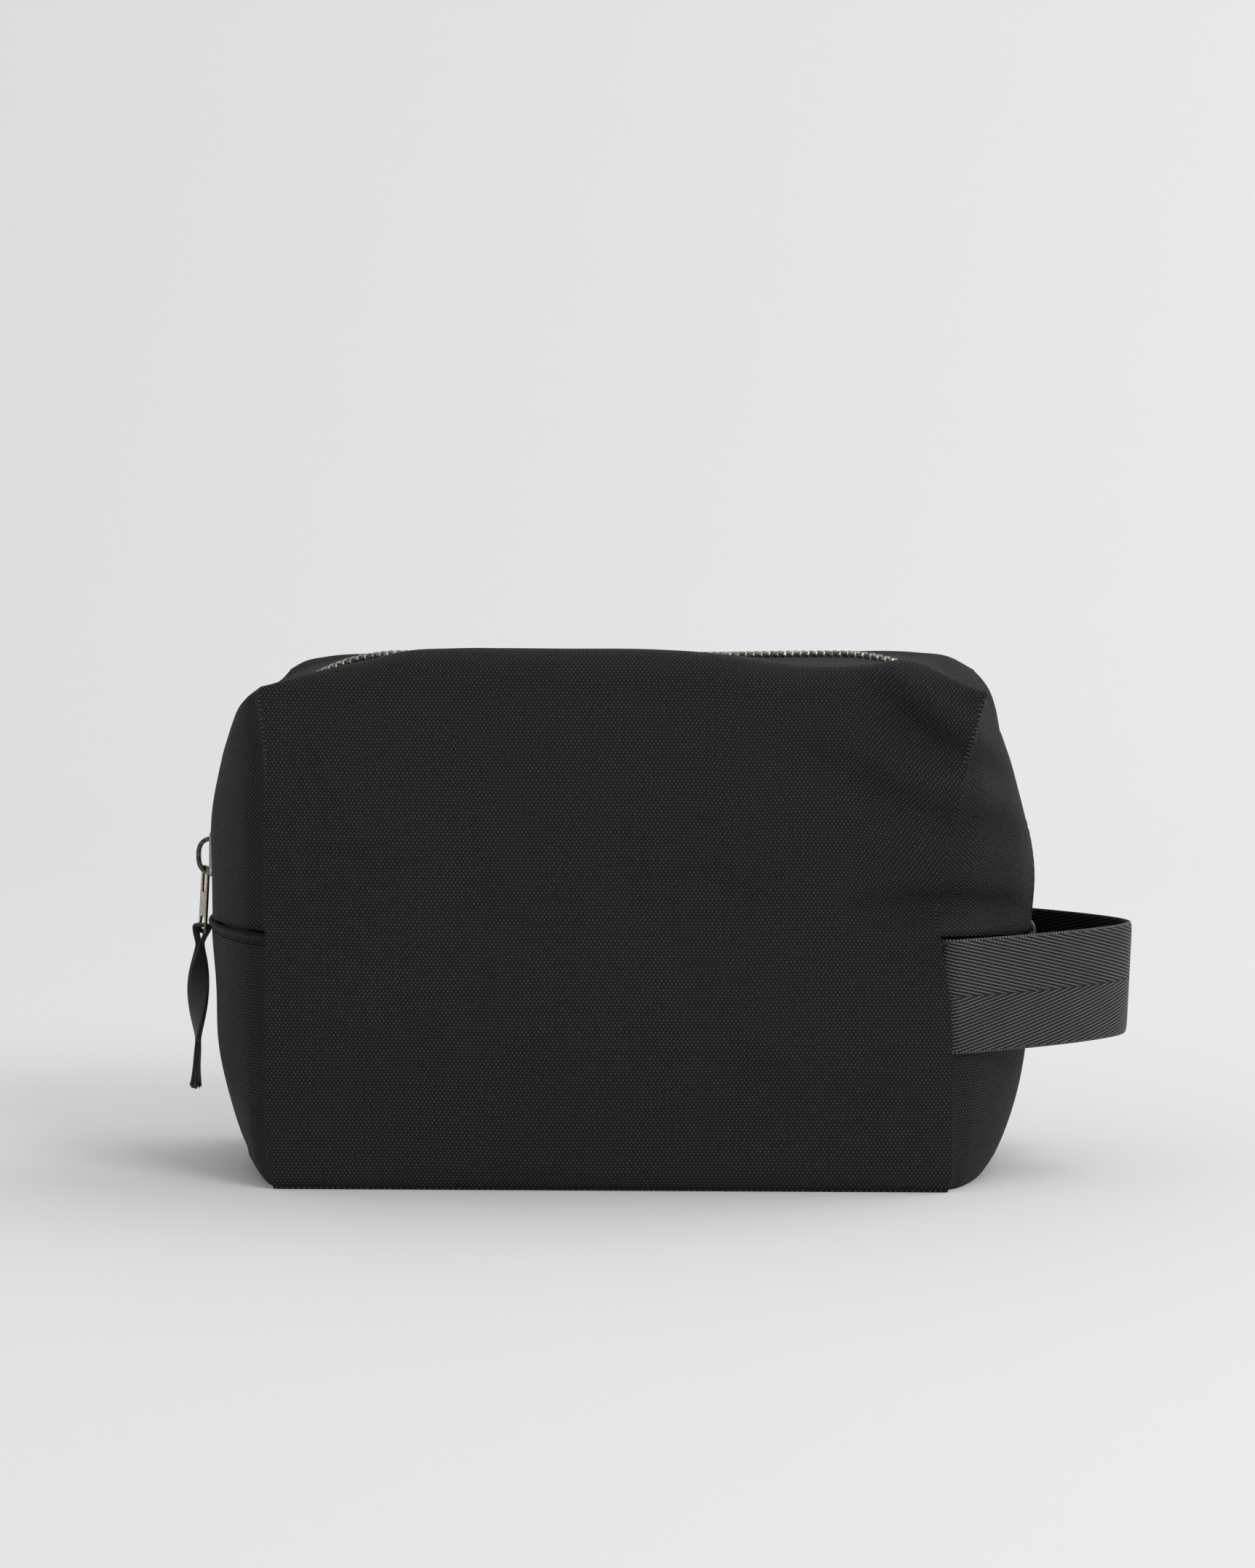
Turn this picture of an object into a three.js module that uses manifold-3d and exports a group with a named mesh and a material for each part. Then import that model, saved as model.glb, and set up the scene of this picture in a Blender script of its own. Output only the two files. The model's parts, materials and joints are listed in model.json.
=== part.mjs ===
// A boxed-corner wash bag: woven shell, zip over the top and down both ends, puller and webbing loop.
// Millimetres. +X points towards the webbing loop, +Y to the back, +Z up.
// The origin is the centre of the base, on the surface that the bag stands on.
import * as THREE from 'three';
import { mergeVertices } from 'three/addons/utils/BufferGeometryUtils.js';
import Module from 'manifold-3d';

const wasm = await Module();
wasm.setup();

// Bag outline
const HALF_LENGTH = 128; // to the middle of an end panel
const HALF_FRONT = 105.5; // to a vertical corner seam
const HALF_DEPTH = 57; // to the front wall at its corner seams
const WALL_CROWN = 1.8; // how far the front and back walls belly out
const CORNER_Z = 152.5; // top of a corner seam
const CREST_Z = 164; // top edge of the front wall at its middle
const BASE_TAPER = 16; // how far the end panels draw in at the base
const TAPER_Z = 80; // where that draw-in starts
const END_FULLNESS = 1.25; // how softly an end panel leaves its corner seams
const BASE_ROUND = 3;
const SHELL = 2.4; // padded woven shell
const GAP = 0.3;
const LINING = 0.8;
const BOARD = 2;
const BOARD_LENGTH = 196;
const BOARD_WIDTH = 100;
const LINING_CLEAR = 2.4; // between the shell and the lining
const LINING_DETAIL = 0.6; // the lining is faceted more coarsely than the shell
const LINING_SLOT_HALF = 9;

// Zip track: up one end, round a corner arc, along the top, and down the other end
const SEAM_Z = 77; // where the zip ends in the seam across each end panel
const ARC_R = 60.5;
const ARC_Z = 101;
const ARC_X = HALF_LENGTH - ARC_R;
const TOP_Z = ARC_Z + ARC_R;
const SLOT_HALF = 6.2; // half the opening between the two fabric edges
const CHAIN_DEPTH = 2.1; // teeth centre below the fabric's face
const TEETH_HALF = 1;
const TEETH_WIDTH = 2.85;
const TAPE = 0.7;
const TAPE_BEAD = 0.45; // between the teeth and the tape's visible edge
const TAPE_ENDS = 3; // the tapes, teeth and stops are placed by their distance from the ends of the track
const TEETH_START = 16;
const TEETH_END = 10;
const TOP_STOP = [8.5, 11.5];
const BOTTOM_STOP = [9.5, 6];

// Mouth: each upper half turns about the line between the two ends of the zip
const APEX_Z = 105; // the closed zip just above the parked slider
const FOLD_CORNER_Y = 52; // where the fold across an end meets the corner seam
const FOLD_BELOW = 1.2; // how far each side of the fold line is cut back
const FOLD_ABOVE = 0.4;
const SPLIT = 0.5; // each half starts this far from the middle of the zip
const GUSSET_X = 78; // where the top panels meet the end gussets

// Slider, puller and loop
const SLIDER_Z = 97; // parked just above the top stops
const SLIDER_LENGTH = 14;
const SLIDER_HALF = 4.6;
const PLATE = 1.2;
const PLATE_OFF = 1.4; // from the middle of the teeth to each plate
const FLANGE = 0.9;
const FLANGE_OFF = 0.9;
const NECK_HALF = 1.1;
const NECK = [0.2, 2.6]; // the neck's start and end above the slider's lower edge
const WELD = 0.5; // how far joined metal parts run into each other
const CROWN_HALF = 5.6;
const CROWN_RISE = 3.4;
const CROWN_BAR = 1;
const CROWN_THICK = 1.6;
const TAB_X = HALF_LENGTH + 2.2;
const TAB_THICK = 1.4;
const TAB_TOP = 94.3;
const TAB_LENGTH = 21.3;
const TAB_HALF = 3.75;
const TAB_RADIUS = 1.3;
const TAB_SLOT_HALF = 1.7;
const TAB_SLOT_DEPTH = 8.3;
const TAB_EYE_HALF = 2.7;
const TAB_EYE = [1.6, 5.6]; // the eye's lower and upper edges above the tab's lower end
const EYE_BAR = 0.8; // middle of the bar below the eye
const LOOP_OUTER = 1.85;
const LOOP_INNER = 1.25;
const LOOP_HALF = 2.4;
const PULL_HALF = 3.3;
const PULL_THICK = 1.8;
const PULL_LEAN = 0.35; // how far the strip hangs outside the bar's middle
const PULL_BOTTOM = 24;
const WEB_WIDTH = 35;
const WEB_THICK = 1.8;
const WEB_Z = 59.4;
const WEB_TIP_X = 158;
const WEB_ROOT_X = 104;
const WEB_ROOT_Y = 55;
const WEB_CURVE = 1.53;
const WEB_STEPS = 32;
const WEB_HINGE_X = 126.4;
const WEB_HINGE_GAP = 0.4;
const WEB_CUT = 30; // more than half the webbing's width
const WEB_SWING = THREE.MathUtils.degToRad(32);

const fabric = new THREE.MeshStandardMaterial({ color: 0x232324, roughness: 0.85, metalness: 0 });
const liningCloth = new THREE.MeshStandardMaterial({ color: 0x1b1b1c, roughness: 0.7, metalness: 0 });
const webbing = new THREE.MeshStandardMaterial({ color: 0x3a3a3b, roughness: 0.8, metalness: 0 });
const tapeCloth = new THREE.MeshStandardMaterial({ color: 0x171717, roughness: 0.9, metalness: 0 });
const brass = new THREE.MeshStandardMaterial({ color: 0x6b5a35, roughness: 0.4, metalness: 1 });
const gunmetal = new THREE.MeshStandardMaterial({ color: 0x8c8a86, roughness: 0.35, metalness: 1 });
const board = new THREE.MeshStandardMaterial({ color: 0x2a2a2a, roughness: 0.6, metalness: 0 });

const group = new THREE.Group();

function add(name, shape, material) {
  const mesh = new THREE.Mesh(shape.getMesh ? toGeometry(shape) : shape, material);
  mesh.name = name;
  group.add(mesh);
}

function toSolid(geometry) {
  const bare = geometry.clone();
  for (const name of Object.keys(bare.attributes)) {
    if (name !== 'position') bare.deleteAttribute(name);
  }
  const merged = mergeVertices(bare, 1e-4);
  const kept = [];
  const index = merged.index.array;
  for (let i = 0; i < index.length; i += 3) {
    const [a, b, c] = index.slice(i, i + 3);
    if (a !== b && b !== c && c !== a) kept.push(a, b, c);
  }
  const vertProperties = new Float32Array(merged.attributes.position.array);
  return new wasm.Manifold(new wasm.Mesh({ numProp: 3, vertProperties, triVerts: new Uint32Array(kept) }));
}

function toGeometry(solid) {
  const { numProp, vertProperties, triVerts } = solid.getMesh();
  const positions = new Float32Array((vertProperties.length / numProp) * 3);
  for (let i = 0; i < positions.length / 3; i += 1) {
    positions.set(vertProperties.subarray(i * numProp, i * numProp + 3), i * 3);
  }
  const geometry = new THREE.BufferGeometry();
  geometry.setAttribute('position', new THREE.BufferAttribute(positions, 3));
  geometry.setIndex(new THREE.BufferAttribute(new Uint32Array(triVerts), 1));
  return geometry;
}

// Joins rings of equal length into one closed skin; each end is fanned from its own middle point
function closeRings(rings, capEnds = [true, true]) {
  const count = rings[0].length;
  const points = rings.flat();
  const faces = [];
  for (let ring = 0; ring + 1 < rings.length; ring += 1) {
    for (let i = 0; i < count; i += 1) {
      const a = ring * count + i;
      const b = ring * count + ((i + 1) % count);
      faces.push(a, b, b + count, a, b + count, a + count);
    }
  }
  [0, rings.length - 1].forEach((ring, end) => {
    if (!capEnds[end]) return;
    const middle = points.length;
    const sum = rings[ring].reduce((total, p) => total.add(p), new THREE.Vector3());
    points.push(sum.divideScalar(count));
    for (let i = 0; i < count; i += 1) {
      const a = ring * count + i;
      const b = ring * count + ((i + 1) % count);
      faces.push(...(end ? [a, b, middle] : [b, a, middle]));
    }
  });
  const geometry = new THREE.BufferGeometry().setFromPoints(points);
  geometry.setIndex(faces);
  return geometry;
}

function block(x0, x1, y0, y1, z0, z1) {
  const geometry = new THREE.BoxGeometry(x1 - x0, y1 - y0, z1 - z0);
  geometry.translate((x0 + x1) / 2, (y0 + y1) / 2, (z0 + z1) / 2);
  return toSolid(geometry);
}

// A prism along X whose section is given by [y, z] corners
function prismAlongX(corners, x0, x1) {
  const shape = new THREE.Shape(corners.map(([y, z]) => new THREE.Vector2(y, z)));
  const geometry = new THREE.ExtrudeGeometry(shape, { depth: x1 - x0, bevelEnabled: false });
  geometry.applyMatrix4(new THREE.Matrix4().set(0, 0, 1, x0, 1, 0, 0, 0, 0, 1, 0, 0, 0, 0, 0, 1));
  return toSolid(geometry);
}

// The end panel's middle line, as a distance from the bag's centre
function endX(z, inset) {
  if (z > ARC_Z) return ARC_X + Math.sqrt(Math.max((ARC_R - inset) ** 2 - (z - ARC_Z) ** 2, 0));
  const low = Math.max(1 - z / TAPER_Z, 0);
  return HALF_LENGTH - inset - BASE_TAPER * low ** 2.2;
}

// The bag as one closed form, drawn in by inset on every side and standing at floor
function bagForm(inset, floor = inset, detail = 1) {
  const baseRound = inset > 0 ? 0 : BASE_ROUND;
  const corner = HALF_FRONT - inset;
  const depth = HALF_DEPTH - inset;
  const wallLevels = Math.round(13 * detail);
  const topLevels = Math.round(5 * detail);
  const frontSteps = Math.round(10 * detail);
  const endSteps = Math.round(10 * detail);
  const topAngle = Math.PI / 3;
  const rings = [];

  function ring(place) {
    const points = [];
    for (let i = 0; i < frontSteps; i += 1) points.push(place.side(-1 + (2 * i) / frontSteps, -1));
    for (let i = 0; i < endSteps; i += 1) points.push(place.end(-1 + (2 * i) / endSteps, 1));
    for (let i = 0; i < frontSteps; i += 1) points.push(place.side(1 - (2 * i) / frontSteps, 1));
    for (let i = 0; i < endSteps; i += 1) points.push(place.end(1 - (2 * i) / endSteps, -1));
    return points;
  }

  const levels = [0, BASE_ROUND / CORNER_Z];
  for (let i = 1; i <= wallLevels; i += 1) levels.push((i / wallLevels) ** 0.9);
  for (const level of levels) {
    const round = level === 0 ? baseRound : 0;
    rings.push(ring({
      side: (a, s) => {
        const top = CORNER_Z - inset + (CREST_Z - CORNER_Z) * (1 - a ** 4) ** 0.6;
        const belly = WALL_CROWN * Math.cos((a * Math.PI) / 2) * Math.sin(Math.PI * level);
        const z = floor + level * (top - floor);
        return new THREE.Vector3(a * (corner - round), s * (depth - round + belly), z);
      },
      end: (e, s) => {
        const middle = ARC_Z + (ARC_R - inset) * Math.sin(topAngle);
        const top = CORNER_Z - inset + (middle - CORNER_Z + inset) * (1 - e * e);
        const z = floor + level * (top - floor);
        const x = corner + (endX(z, inset) - corner) * (1 - e * e) ** END_FULLNESS;
        return new THREE.Vector3(s * (x - round), e * (depth - round), z);
      },
    }));
  }
  for (let i = 1; i <= topLevels; i += 1) {
    const w = i / topLevels;
    const angle = topAngle + (Math.PI / 2 - topAngle) * w;
    const cornerX = THREE.MathUtils.lerp(corner, ARC_X, w);
    const cornerZ = THREE.MathUtils.lerp(CORNER_Z - inset, TOP_Z - inset, w ** 0.8);
    const sideZ = THREE.MathUtils.lerp(CREST_Z - inset, TOP_Z - inset, w);
    const middleX = ARC_X + (ARC_R - inset) * Math.cos(angle);
    const middleZ = ARC_Z + (ARC_R - inset) * Math.sin(angle);
    rings.push(ring({
      side: (a, s) => {
        const z = cornerZ + (sideZ - cornerZ) * (1 - a ** 4) ** 0.6;
        return new THREE.Vector3(a * cornerX, s * depth * (1 - w), z);
      },
      end: (e, s) => {
        const x = cornerX + (middleX - cornerX) * (1 - e * e) ** END_FULLNESS;
        const z = cornerZ + (middleZ - cornerZ) * (1 - e * e);
        return new THREE.Vector3(s * x, e * depth * (1 - w), z);
      },
    }));
  }
  return toSolid(closeRings(rings, [true, false]));
}

// Points along the zip track with their outward normals, from one distance to another
const STRAIGHT = ARC_Z - SEAM_Z;
const ARC_LENGTH = (Math.PI / 2) * ARC_R;
const TRACK_LENGTH = 2 * (STRAIGHT + ARC_LENGTH + ARC_X);
const TRACK_STEP = ARC_LENGTH / 14;

function trackPoint(s) {
  const right = s > TRACK_LENGTH / 2;
  const along = right ? TRACK_LENGTH - s : s;
  const sign = right ? 1 : -1;
  const turned = THREE.MathUtils.clamp((along - STRAIGHT) / ARC_R, 0, Math.PI / 2);
  const past = Math.max(along - STRAIGHT - ARC_LENGTH, 0);
  const below = Math.min(along - STRAIGHT, 0);
  const x = sign * (ARC_X + ARC_R * Math.cos(turned) - past);
  const z = ARC_Z + ARC_R * Math.sin(turned) + below;
  return { x, z, nx: sign * Math.cos(turned), nz: Math.sin(turned) };
}

function trackStrip(y0, y1, depth0, depth1, from, to) {
  const bends = [STRAIGHT, STRAIGHT + ARC_LENGTH];
  const stops = [...bends, ...bends.map((s) => TRACK_LENGTH - s)];
  for (let s = STRAIGHT; s < STRAIGHT + ARC_LENGTH; s += TRACK_STEP) stops.push(s, TRACK_LENGTH - s);
  const inside = stops.filter((s) => s > from + 0.5 && s < to - 0.5).sort((a, b) => a - b);
  const stations = [from, ...inside.filter((s, i) => i === 0 || s - inside[i - 1] > 0.01), to];
  return closeRings(stations.map((s) => {
    const p = trackPoint(s);
    const at = (y, depth) => new THREE.Vector3(p.x - p.nx * depth, y, p.z - p.nz * depth);
    return [at(y0, depth0), at(y0, depth1), at(y1, depth1), at(y1, depth0)];
  }));
}

// The woven shell, cut into its panels
const FAR = 200;
const outerForm = bagForm(0);
const SLOT_END = 2.5;
const zipSlot = toSolid(trackStrip(-SLOT_HALF, SLOT_HALF, -8, 12, SLOT_END, TRACK_LENGTH - SLOT_END));
const shell = outerForm.subtract(bagForm(SHELL)).subtract(zipSlot);
const wallInside = HALF_DEPTH - SHELL;
const panelEdge = wallInside - GAP;

const between = (z0, z1) => block(-FAR, FAR, -FAR, FAR, z0, z1);
const lower = shell.intersect(between(-1, SEAM_Z - GAP / 2));
const middle = shell.intersect(between(SEAM_Z + GAP / 2, APEX_Z - GAP));
const upper = shell.intersect(between(APEX_Z, FAR));
const insideWalls = block(-FAR, FAR, -panelEdge, panelEdge, -1, FAR);

add('bottom_panel', lower.intersect(insideWalls).intersect(between(-1, SHELL)), fabric);
const lowerEnds = lower.intersect(insideWalls).intersect(between(SHELL + GAP, FAR));
add('left_end_lower', lowerEnds.intersect(block(-FAR, 0, -FAR, FAR, -1, FAR)), fabric);
add('right_end_lower', lowerEnds.intersect(block(0, FAR, -FAR, FAR, -1, FAR)), fabric);

// On each end, the closed corner of the zip stays put below a fold that runs from the zip to the seams
const foldLine = (drop) => prismAlongX(
  [[-FOLD_CORNER_Y, SEAM_Z], [FOLD_CORNER_Y, SEAM_Z], [0, APEX_Z - drop]], -FAR, FAR);
const closedCorners = middle.intersect(foldLine(FOLD_BELOW));
add('left_zip_corner', closedCorners.intersect(block(-FAR, 0, -FAR, FAR, 0, FAR)), fabric);
add('right_zip_corner', closedCorners.intersect(block(0, FAR, -FAR, FAR, 0, FAR)), fabric);
const folds = middle.subtract(foldLine(FOLD_ABOVE)).subtract(block(-FAR, FAR, -1, 1, 0, FAR));

for (const [side, s] of [['front', -1], ['back', 1]]) {
  const half = (y0, y1, x0 = -FAR, x1 = FAR) => (
    s < 0 ? block(x0, x1, -y1, -y0, -1, FAR) : block(x0, x1, y0, y1, -1, FAR));
  add(`${side}_wall_lower`, lower.intersect(half(wallInside, FAR)), fabric);
  add(`${side}_fold`, folds.intersect(half(SPLIT, FAR)), fabric);
  add(`${side}_wall_upper`, upper.intersect(half(wallInside, FAR)), fabric);
  add(`${side}_top_panel`, upper.intersect(half(SPLIT, panelEdge, -GUSSET_X, GUSSET_X)), fabric);
  add(`${side}_left_gusset`, upper.intersect(half(SPLIT, panelEdge, -FAR, -GUSSET_X - GAP)), fabric);
  add(`${side}_right_gusset`, upper.intersect(half(SPLIT, panelEdge, GUSSET_X + GAP, FAR)), fabric);
}

// Base stiffener and lining
const boardTop = SHELL + GAP + BOARD;
add('base_board',
  new THREE.BoxGeometry(BOARD_LENGTH, BOARD_WIDTH, BOARD).translate(0, 0, boardTop - BOARD / 2), board);
const liningOut = SHELL + LINING_CLEAR;
const liningSlot = toSolid(trackStrip(-LINING_SLOT_HALF, LINING_SLOT_HALF, -8, 14, -1, TRACK_LENGTH + 1));
const lining = bagForm(liningOut, boardTop + GAP, LINING_DETAIL)
  .subtract(bagForm(liningOut + LINING, boardTop + GAP + LINING, LINING_DETAIL))
  .subtract(liningSlot);
add('lining_lower', lining.intersect(between(-1, SEAM_Z - GAP - 1)), liningCloth);
const liningUpper = lining.intersect(between(APEX_Z, FAR));
add('front_lining_upper', liningUpper.intersect(block(-FAR, FAR, -FAR, 0, 0, FAR)), liningCloth);
add('back_lining_upper', liningUpper.intersect(block(-FAR, FAR, 0, FAR, 0, FAR)), liningCloth);

// Zip: two tapes, two rows of teeth, two top stops at the parked end and a bottom stop at the other
const teethFace = CHAIN_DEPTH - TEETH_HALF;
const teethBack = CHAIN_DEPTH + TEETH_HALF;
for (const [side, s] of [['front', -1], ['back', 1]]) {
  const strip = (near, far, depth0, depth1, from, to) => trackStrip(
    Math.min(s * near, s * far), Math.max(s * near, s * far), depth0, depth1, from, to);
  const tapeFace = CHAIN_DEPTH - TAPE / 2;
  add(`${side}_zip_tape`,
    strip(TEETH_WIDTH + TAPE_BEAD, SLOT_HALF - GAP, tapeFace, tapeFace + TAPE,
      TAPE_ENDS, TRACK_LENGTH - TAPE_ENDS), tapeCloth);
  add(`${side}_zip_teeth`,
    strip(GAP / 2, TEETH_WIDTH, teethFace, teethBack, TEETH_START, TRACK_LENGTH - TEETH_END), brass);
  add(`${side}_top_stop`, strip(GAP, TEETH_WIDTH, teethFace, teethBack, ...TOP_STOP), brass);
}
const bottomStop = BOTTOM_STOP.map((distance) => TRACK_LENGTH - distance);
add('bottom_stop', trackStrip(-TEETH_WIDTH, TEETH_WIDTH, teethFace, teethBack, ...bottomStop), brass);

// Slider: an outer and an inner plate joined by the neck, with side flanges that the tapes run between
const chainX = -(HALF_LENGTH - CHAIN_DEPTH);
const sliderLow = SLIDER_Z - SLIDER_LENGTH / 2;
const sliderHigh = SLIDER_Z + SLIDER_LENGTH / 2;
const sliderBar = (near, far, y0, y1, z0 = sliderLow, z1 = sliderHigh) => (
  block(chainX + Math.min(near, far), chainX + Math.max(near, far), y0, y1, z0, z1));
const insidePlate = PLATE_OFF + WELD;
const neckEnds = NECK.map((height) => sliderLow + height);
let sliderBody = sliderBar(-PLATE_OFF, -PLATE_OFF - PLATE, -SLIDER_HALF, SLIDER_HALF)
  .add(sliderBar(PLATE_OFF, PLATE_OFF + PLATE, -SLIDER_HALF, SLIDER_HALF))
  .add(sliderBar(-insidePlate, insidePlate, -NECK_HALF, NECK_HALF, ...neckEnds));
for (const y0 of [-SLIDER_HALF, SLIDER_HALF - FLANGE]) {
  sliderBody = sliderBody
    .add(sliderBar(-FLANGE_OFF, -insidePlate, y0, y0 + FLANGE))
    .add(sliderBar(FLANGE_OFF, insidePlate, y0, y0 + FLANGE));
}
add('slider_body', sliderBody, gunmetal);

// Crown: the arch on the slider that the pull tab's cross-bar hangs in
function arch(half, rise, bar) {
  const shape = new THREE.Shape();
  shape.moveTo(-half, 0);
  shape.lineTo(-half + bar, 0);
  shape.lineTo(-half + bar, rise - 2 * bar);
  shape.quadraticCurveTo(-half + bar, rise - bar, -half + 2 * bar, rise - bar);
  shape.lineTo(half - 2 * bar, rise - bar);
  shape.quadraticCurveTo(half - bar, rise - bar, half - bar, rise - 2 * bar);
  shape.lineTo(half - bar, 0);
  shape.lineTo(half, 0);
  shape.lineTo(half, rise - 2 * bar);
  shape.quadraticCurveTo(half, rise, half - 2 * bar, rise);
  shape.lineTo(-half + 2 * bar, rise);
  shape.quadraticCurveTo(-half, rise, -half, rise - 2 * bar);
  shape.closePath();
  return shape;
}
const crown = new THREE.ExtrudeGeometry(arch(CROWN_HALF, CROWN_RISE, CROWN_BAR),
  { depth: CROWN_THICK, bevelEnabled: false, curveSegments: 5 });
const crownFoot = chainX - PLATE_OFF - PLATE - GAP;
crown.applyMatrix4(new THREE.Matrix4().set(
  0, -1, 0, crownFoot, 0, 0, -1, CROWN_THICK / 2, 1, 0, 0, SLIDER_Z, 0, 0, 0, 1));
add('slider_crown', crown, gunmetal);

function roundedRect(path, y0, y1, z0, z1, r) {
  path.moveTo(y0 + r, z0);
  path.lineTo(y1 - r, z0);
  path.absarc(y1 - r, z0 + r, r, -Math.PI / 2, 0);
  path.lineTo(y1, z1 - r);
  path.absarc(y1 - r, z1 - r, r, 0, Math.PI / 2);
  path.lineTo(y0 + r, z1);
  path.absarc(y0 + r, z1 - r, r, Math.PI / 2, Math.PI);
  path.lineTo(y0, z0 + r);
  path.absarc(y0 + r, z0 + r, r, Math.PI, 1.5 * Math.PI);
  return path;
}

// Pull tab: a flat plate with a slot for the crown at its top and an eye for the tape at its bottom
const tabBottom = TAB_TOP - TAB_LENGTH;
const tabShape = roundedRect(new THREE.Shape(), -TAB_HALF, TAB_HALF, tabBottom, TAB_TOP, TAB_RADIUS);
const tabHole = (half, low, high, radius) => (
  roundedRect(new THREE.Path(), -half, half, low, high, radius));
tabShape.holes.push(
  tabHole(TAB_SLOT_HALF, TAB_TOP - TAB_SLOT_DEPTH, TAB_TOP - TAB_THICK, 0.6),
  tabHole(TAB_EYE_HALF, tabBottom + TAB_EYE[0], tabBottom + TAB_EYE[1], 0.8));
const tab = new THREE.ExtrudeGeometry(tabShape, { depth: TAB_THICK, bevelEnabled: false, curveSegments: 4 });
tab.applyMatrix4(new THREE.Matrix4().set(
  0, 0, 1, -TAB_X - TAB_THICK / 2, 1, 0, 0, 0, 0, 1, 0, 0, 0, 0, 0, 1));
add('pull_tab', tab, gunmetal);

// Pull tape: a loop round the bar below the eye, then two plies hanging down as one strip
const eyeBarZ = tabBottom + EYE_BAR;
const drum = (r, half) => toSolid(
  new THREE.CylinderGeometry(r, r, 2 * half, 20).translate(-TAB_X, 0, eyeBarZ));
const stripX = -TAB_X - PULL_LEAN;
const stripTop = tabBottom - LOOP_INNER;
const strip = block(
  stripX - PULL_THICK / 2, stripX + PULL_THICK / 2, -PULL_HALF, PULL_HALF, PULL_BOTTOM, stripTop);
const yoke = block(-TAB_X - 1, -TAB_X + 0.5, -LOOP_HALF, LOOP_HALF, tabBottom - LOOP_OUTER, tabBottom);
const loop = drum(LOOP_OUTER, LOOP_HALF).add(yoke).subtract(drum(LOOP_INNER, 2 * LOOP_HALF));
add('pull_tape', loop.add(strip), tapeCloth);

// Webbing loop, from one corner seam round to the other; its middle stands off the end as a handle
function webbingRing(t) {
  const reach = WEB_TIP_X - WEB_ROOT_X;
  const slope = -reach * WEB_CURVE * Math.sign(t) * Math.abs(t) ** (WEB_CURVE - 1);
  const outward = new THREE.Vector2(WEB_ROOT_Y, -slope).normalize().multiplyScalar(WEB_THICK / 2);
  const x = WEB_TIP_X - WEB_THICK / 2 - reach * Math.abs(t) ** WEB_CURVE;
  const at = (side, z) => new THREE.Vector3(x + side * outward.x, t * WEB_ROOT_Y + side * outward.y, z);
  const low = WEB_Z - WEB_WIDTH / 2;
  const high = WEB_Z + WEB_WIDTH / 2;
  return [at(1, low), at(-1, low), at(-1, high), at(1, high)];
}
const webRings = [];
for (let i = 0; i <= WEB_STEPS; i += 1) webRings.push(webbingRing(-1 + (2 * i) / WEB_STEPS));
const web = toSolid(closeRings(webRings));
const loopRoot = WEB_HINGE_X + WEB_HINGE_GAP;
const spread = WEB_CUT * Math.tan(WEB_SWING);
const swingSide = new THREE.Shape([
  new THREE.Vector2(loopRoot, WEB_Z), new THREE.Vector2(loopRoot + spread, WEB_Z - WEB_CUT),
  new THREE.Vector2(FAR, WEB_Z - WEB_CUT), new THREE.Vector2(FAR, WEB_Z + WEB_CUT),
  new THREE.Vector2(loopRoot + spread, WEB_Z + WEB_CUT)]);
const swingCut = new THREE.ExtrudeGeometry(swingSide, { depth: 160, bevelEnabled: false });
swingCut.applyMatrix4(new THREE.Matrix4().set(1, 0, 0, 0, 0, 0, -1, 80, 0, 1, 0, 0, 0, 0, 0, 1));
add('handle_loop', web.intersect(toSolid(swingCut)), webbing);
const tails = web.subtract(bagForm(-0.4)).intersect(block(0, WEB_HINGE_X - 0.2, -FAR, FAR, 0, FAR));
add('handle_front_tail', tails.intersect(block(0, FAR, -FAR, 0, 0, FAR)), webbing);
add('handle_back_tail', tails.intersect(block(0, FAR, 0, FAR, 0, FAR)), webbing);

export default group;
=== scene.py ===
"""A boxed-corner woven wash bag: its shell, lining, zip, puller and webbing loop."""
import json
import math

import bmesh
import bpy
import numpy as np
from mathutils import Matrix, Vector, noise


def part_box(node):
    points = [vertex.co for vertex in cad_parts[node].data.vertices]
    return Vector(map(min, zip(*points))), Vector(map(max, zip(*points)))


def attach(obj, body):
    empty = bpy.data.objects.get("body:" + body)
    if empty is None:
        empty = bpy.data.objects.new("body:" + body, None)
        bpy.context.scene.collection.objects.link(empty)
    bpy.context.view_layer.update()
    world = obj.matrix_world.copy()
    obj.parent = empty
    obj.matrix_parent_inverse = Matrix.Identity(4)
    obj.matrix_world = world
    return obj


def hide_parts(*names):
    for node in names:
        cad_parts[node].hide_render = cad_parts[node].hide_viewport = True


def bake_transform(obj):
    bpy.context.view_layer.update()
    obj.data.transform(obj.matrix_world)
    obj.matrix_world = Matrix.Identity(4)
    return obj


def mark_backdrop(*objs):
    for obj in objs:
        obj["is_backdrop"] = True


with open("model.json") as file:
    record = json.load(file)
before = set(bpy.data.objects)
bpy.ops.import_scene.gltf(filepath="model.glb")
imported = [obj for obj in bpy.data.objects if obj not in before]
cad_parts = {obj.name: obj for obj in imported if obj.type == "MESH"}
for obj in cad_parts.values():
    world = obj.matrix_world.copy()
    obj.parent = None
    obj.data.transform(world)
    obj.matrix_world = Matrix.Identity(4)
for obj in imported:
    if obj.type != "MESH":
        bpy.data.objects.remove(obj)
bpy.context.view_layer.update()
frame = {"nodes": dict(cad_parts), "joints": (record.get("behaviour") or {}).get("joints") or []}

MM = 0.001
joints = {joint["name"]: joint for joint in frame["joints"]}


def span(node):
    """A CAD node's lowest and highest corners, in millimetres."""
    low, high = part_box(node)
    return np.array(low) / MM, np.array(high) / MM


# --- sizes, in millimetres

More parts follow.
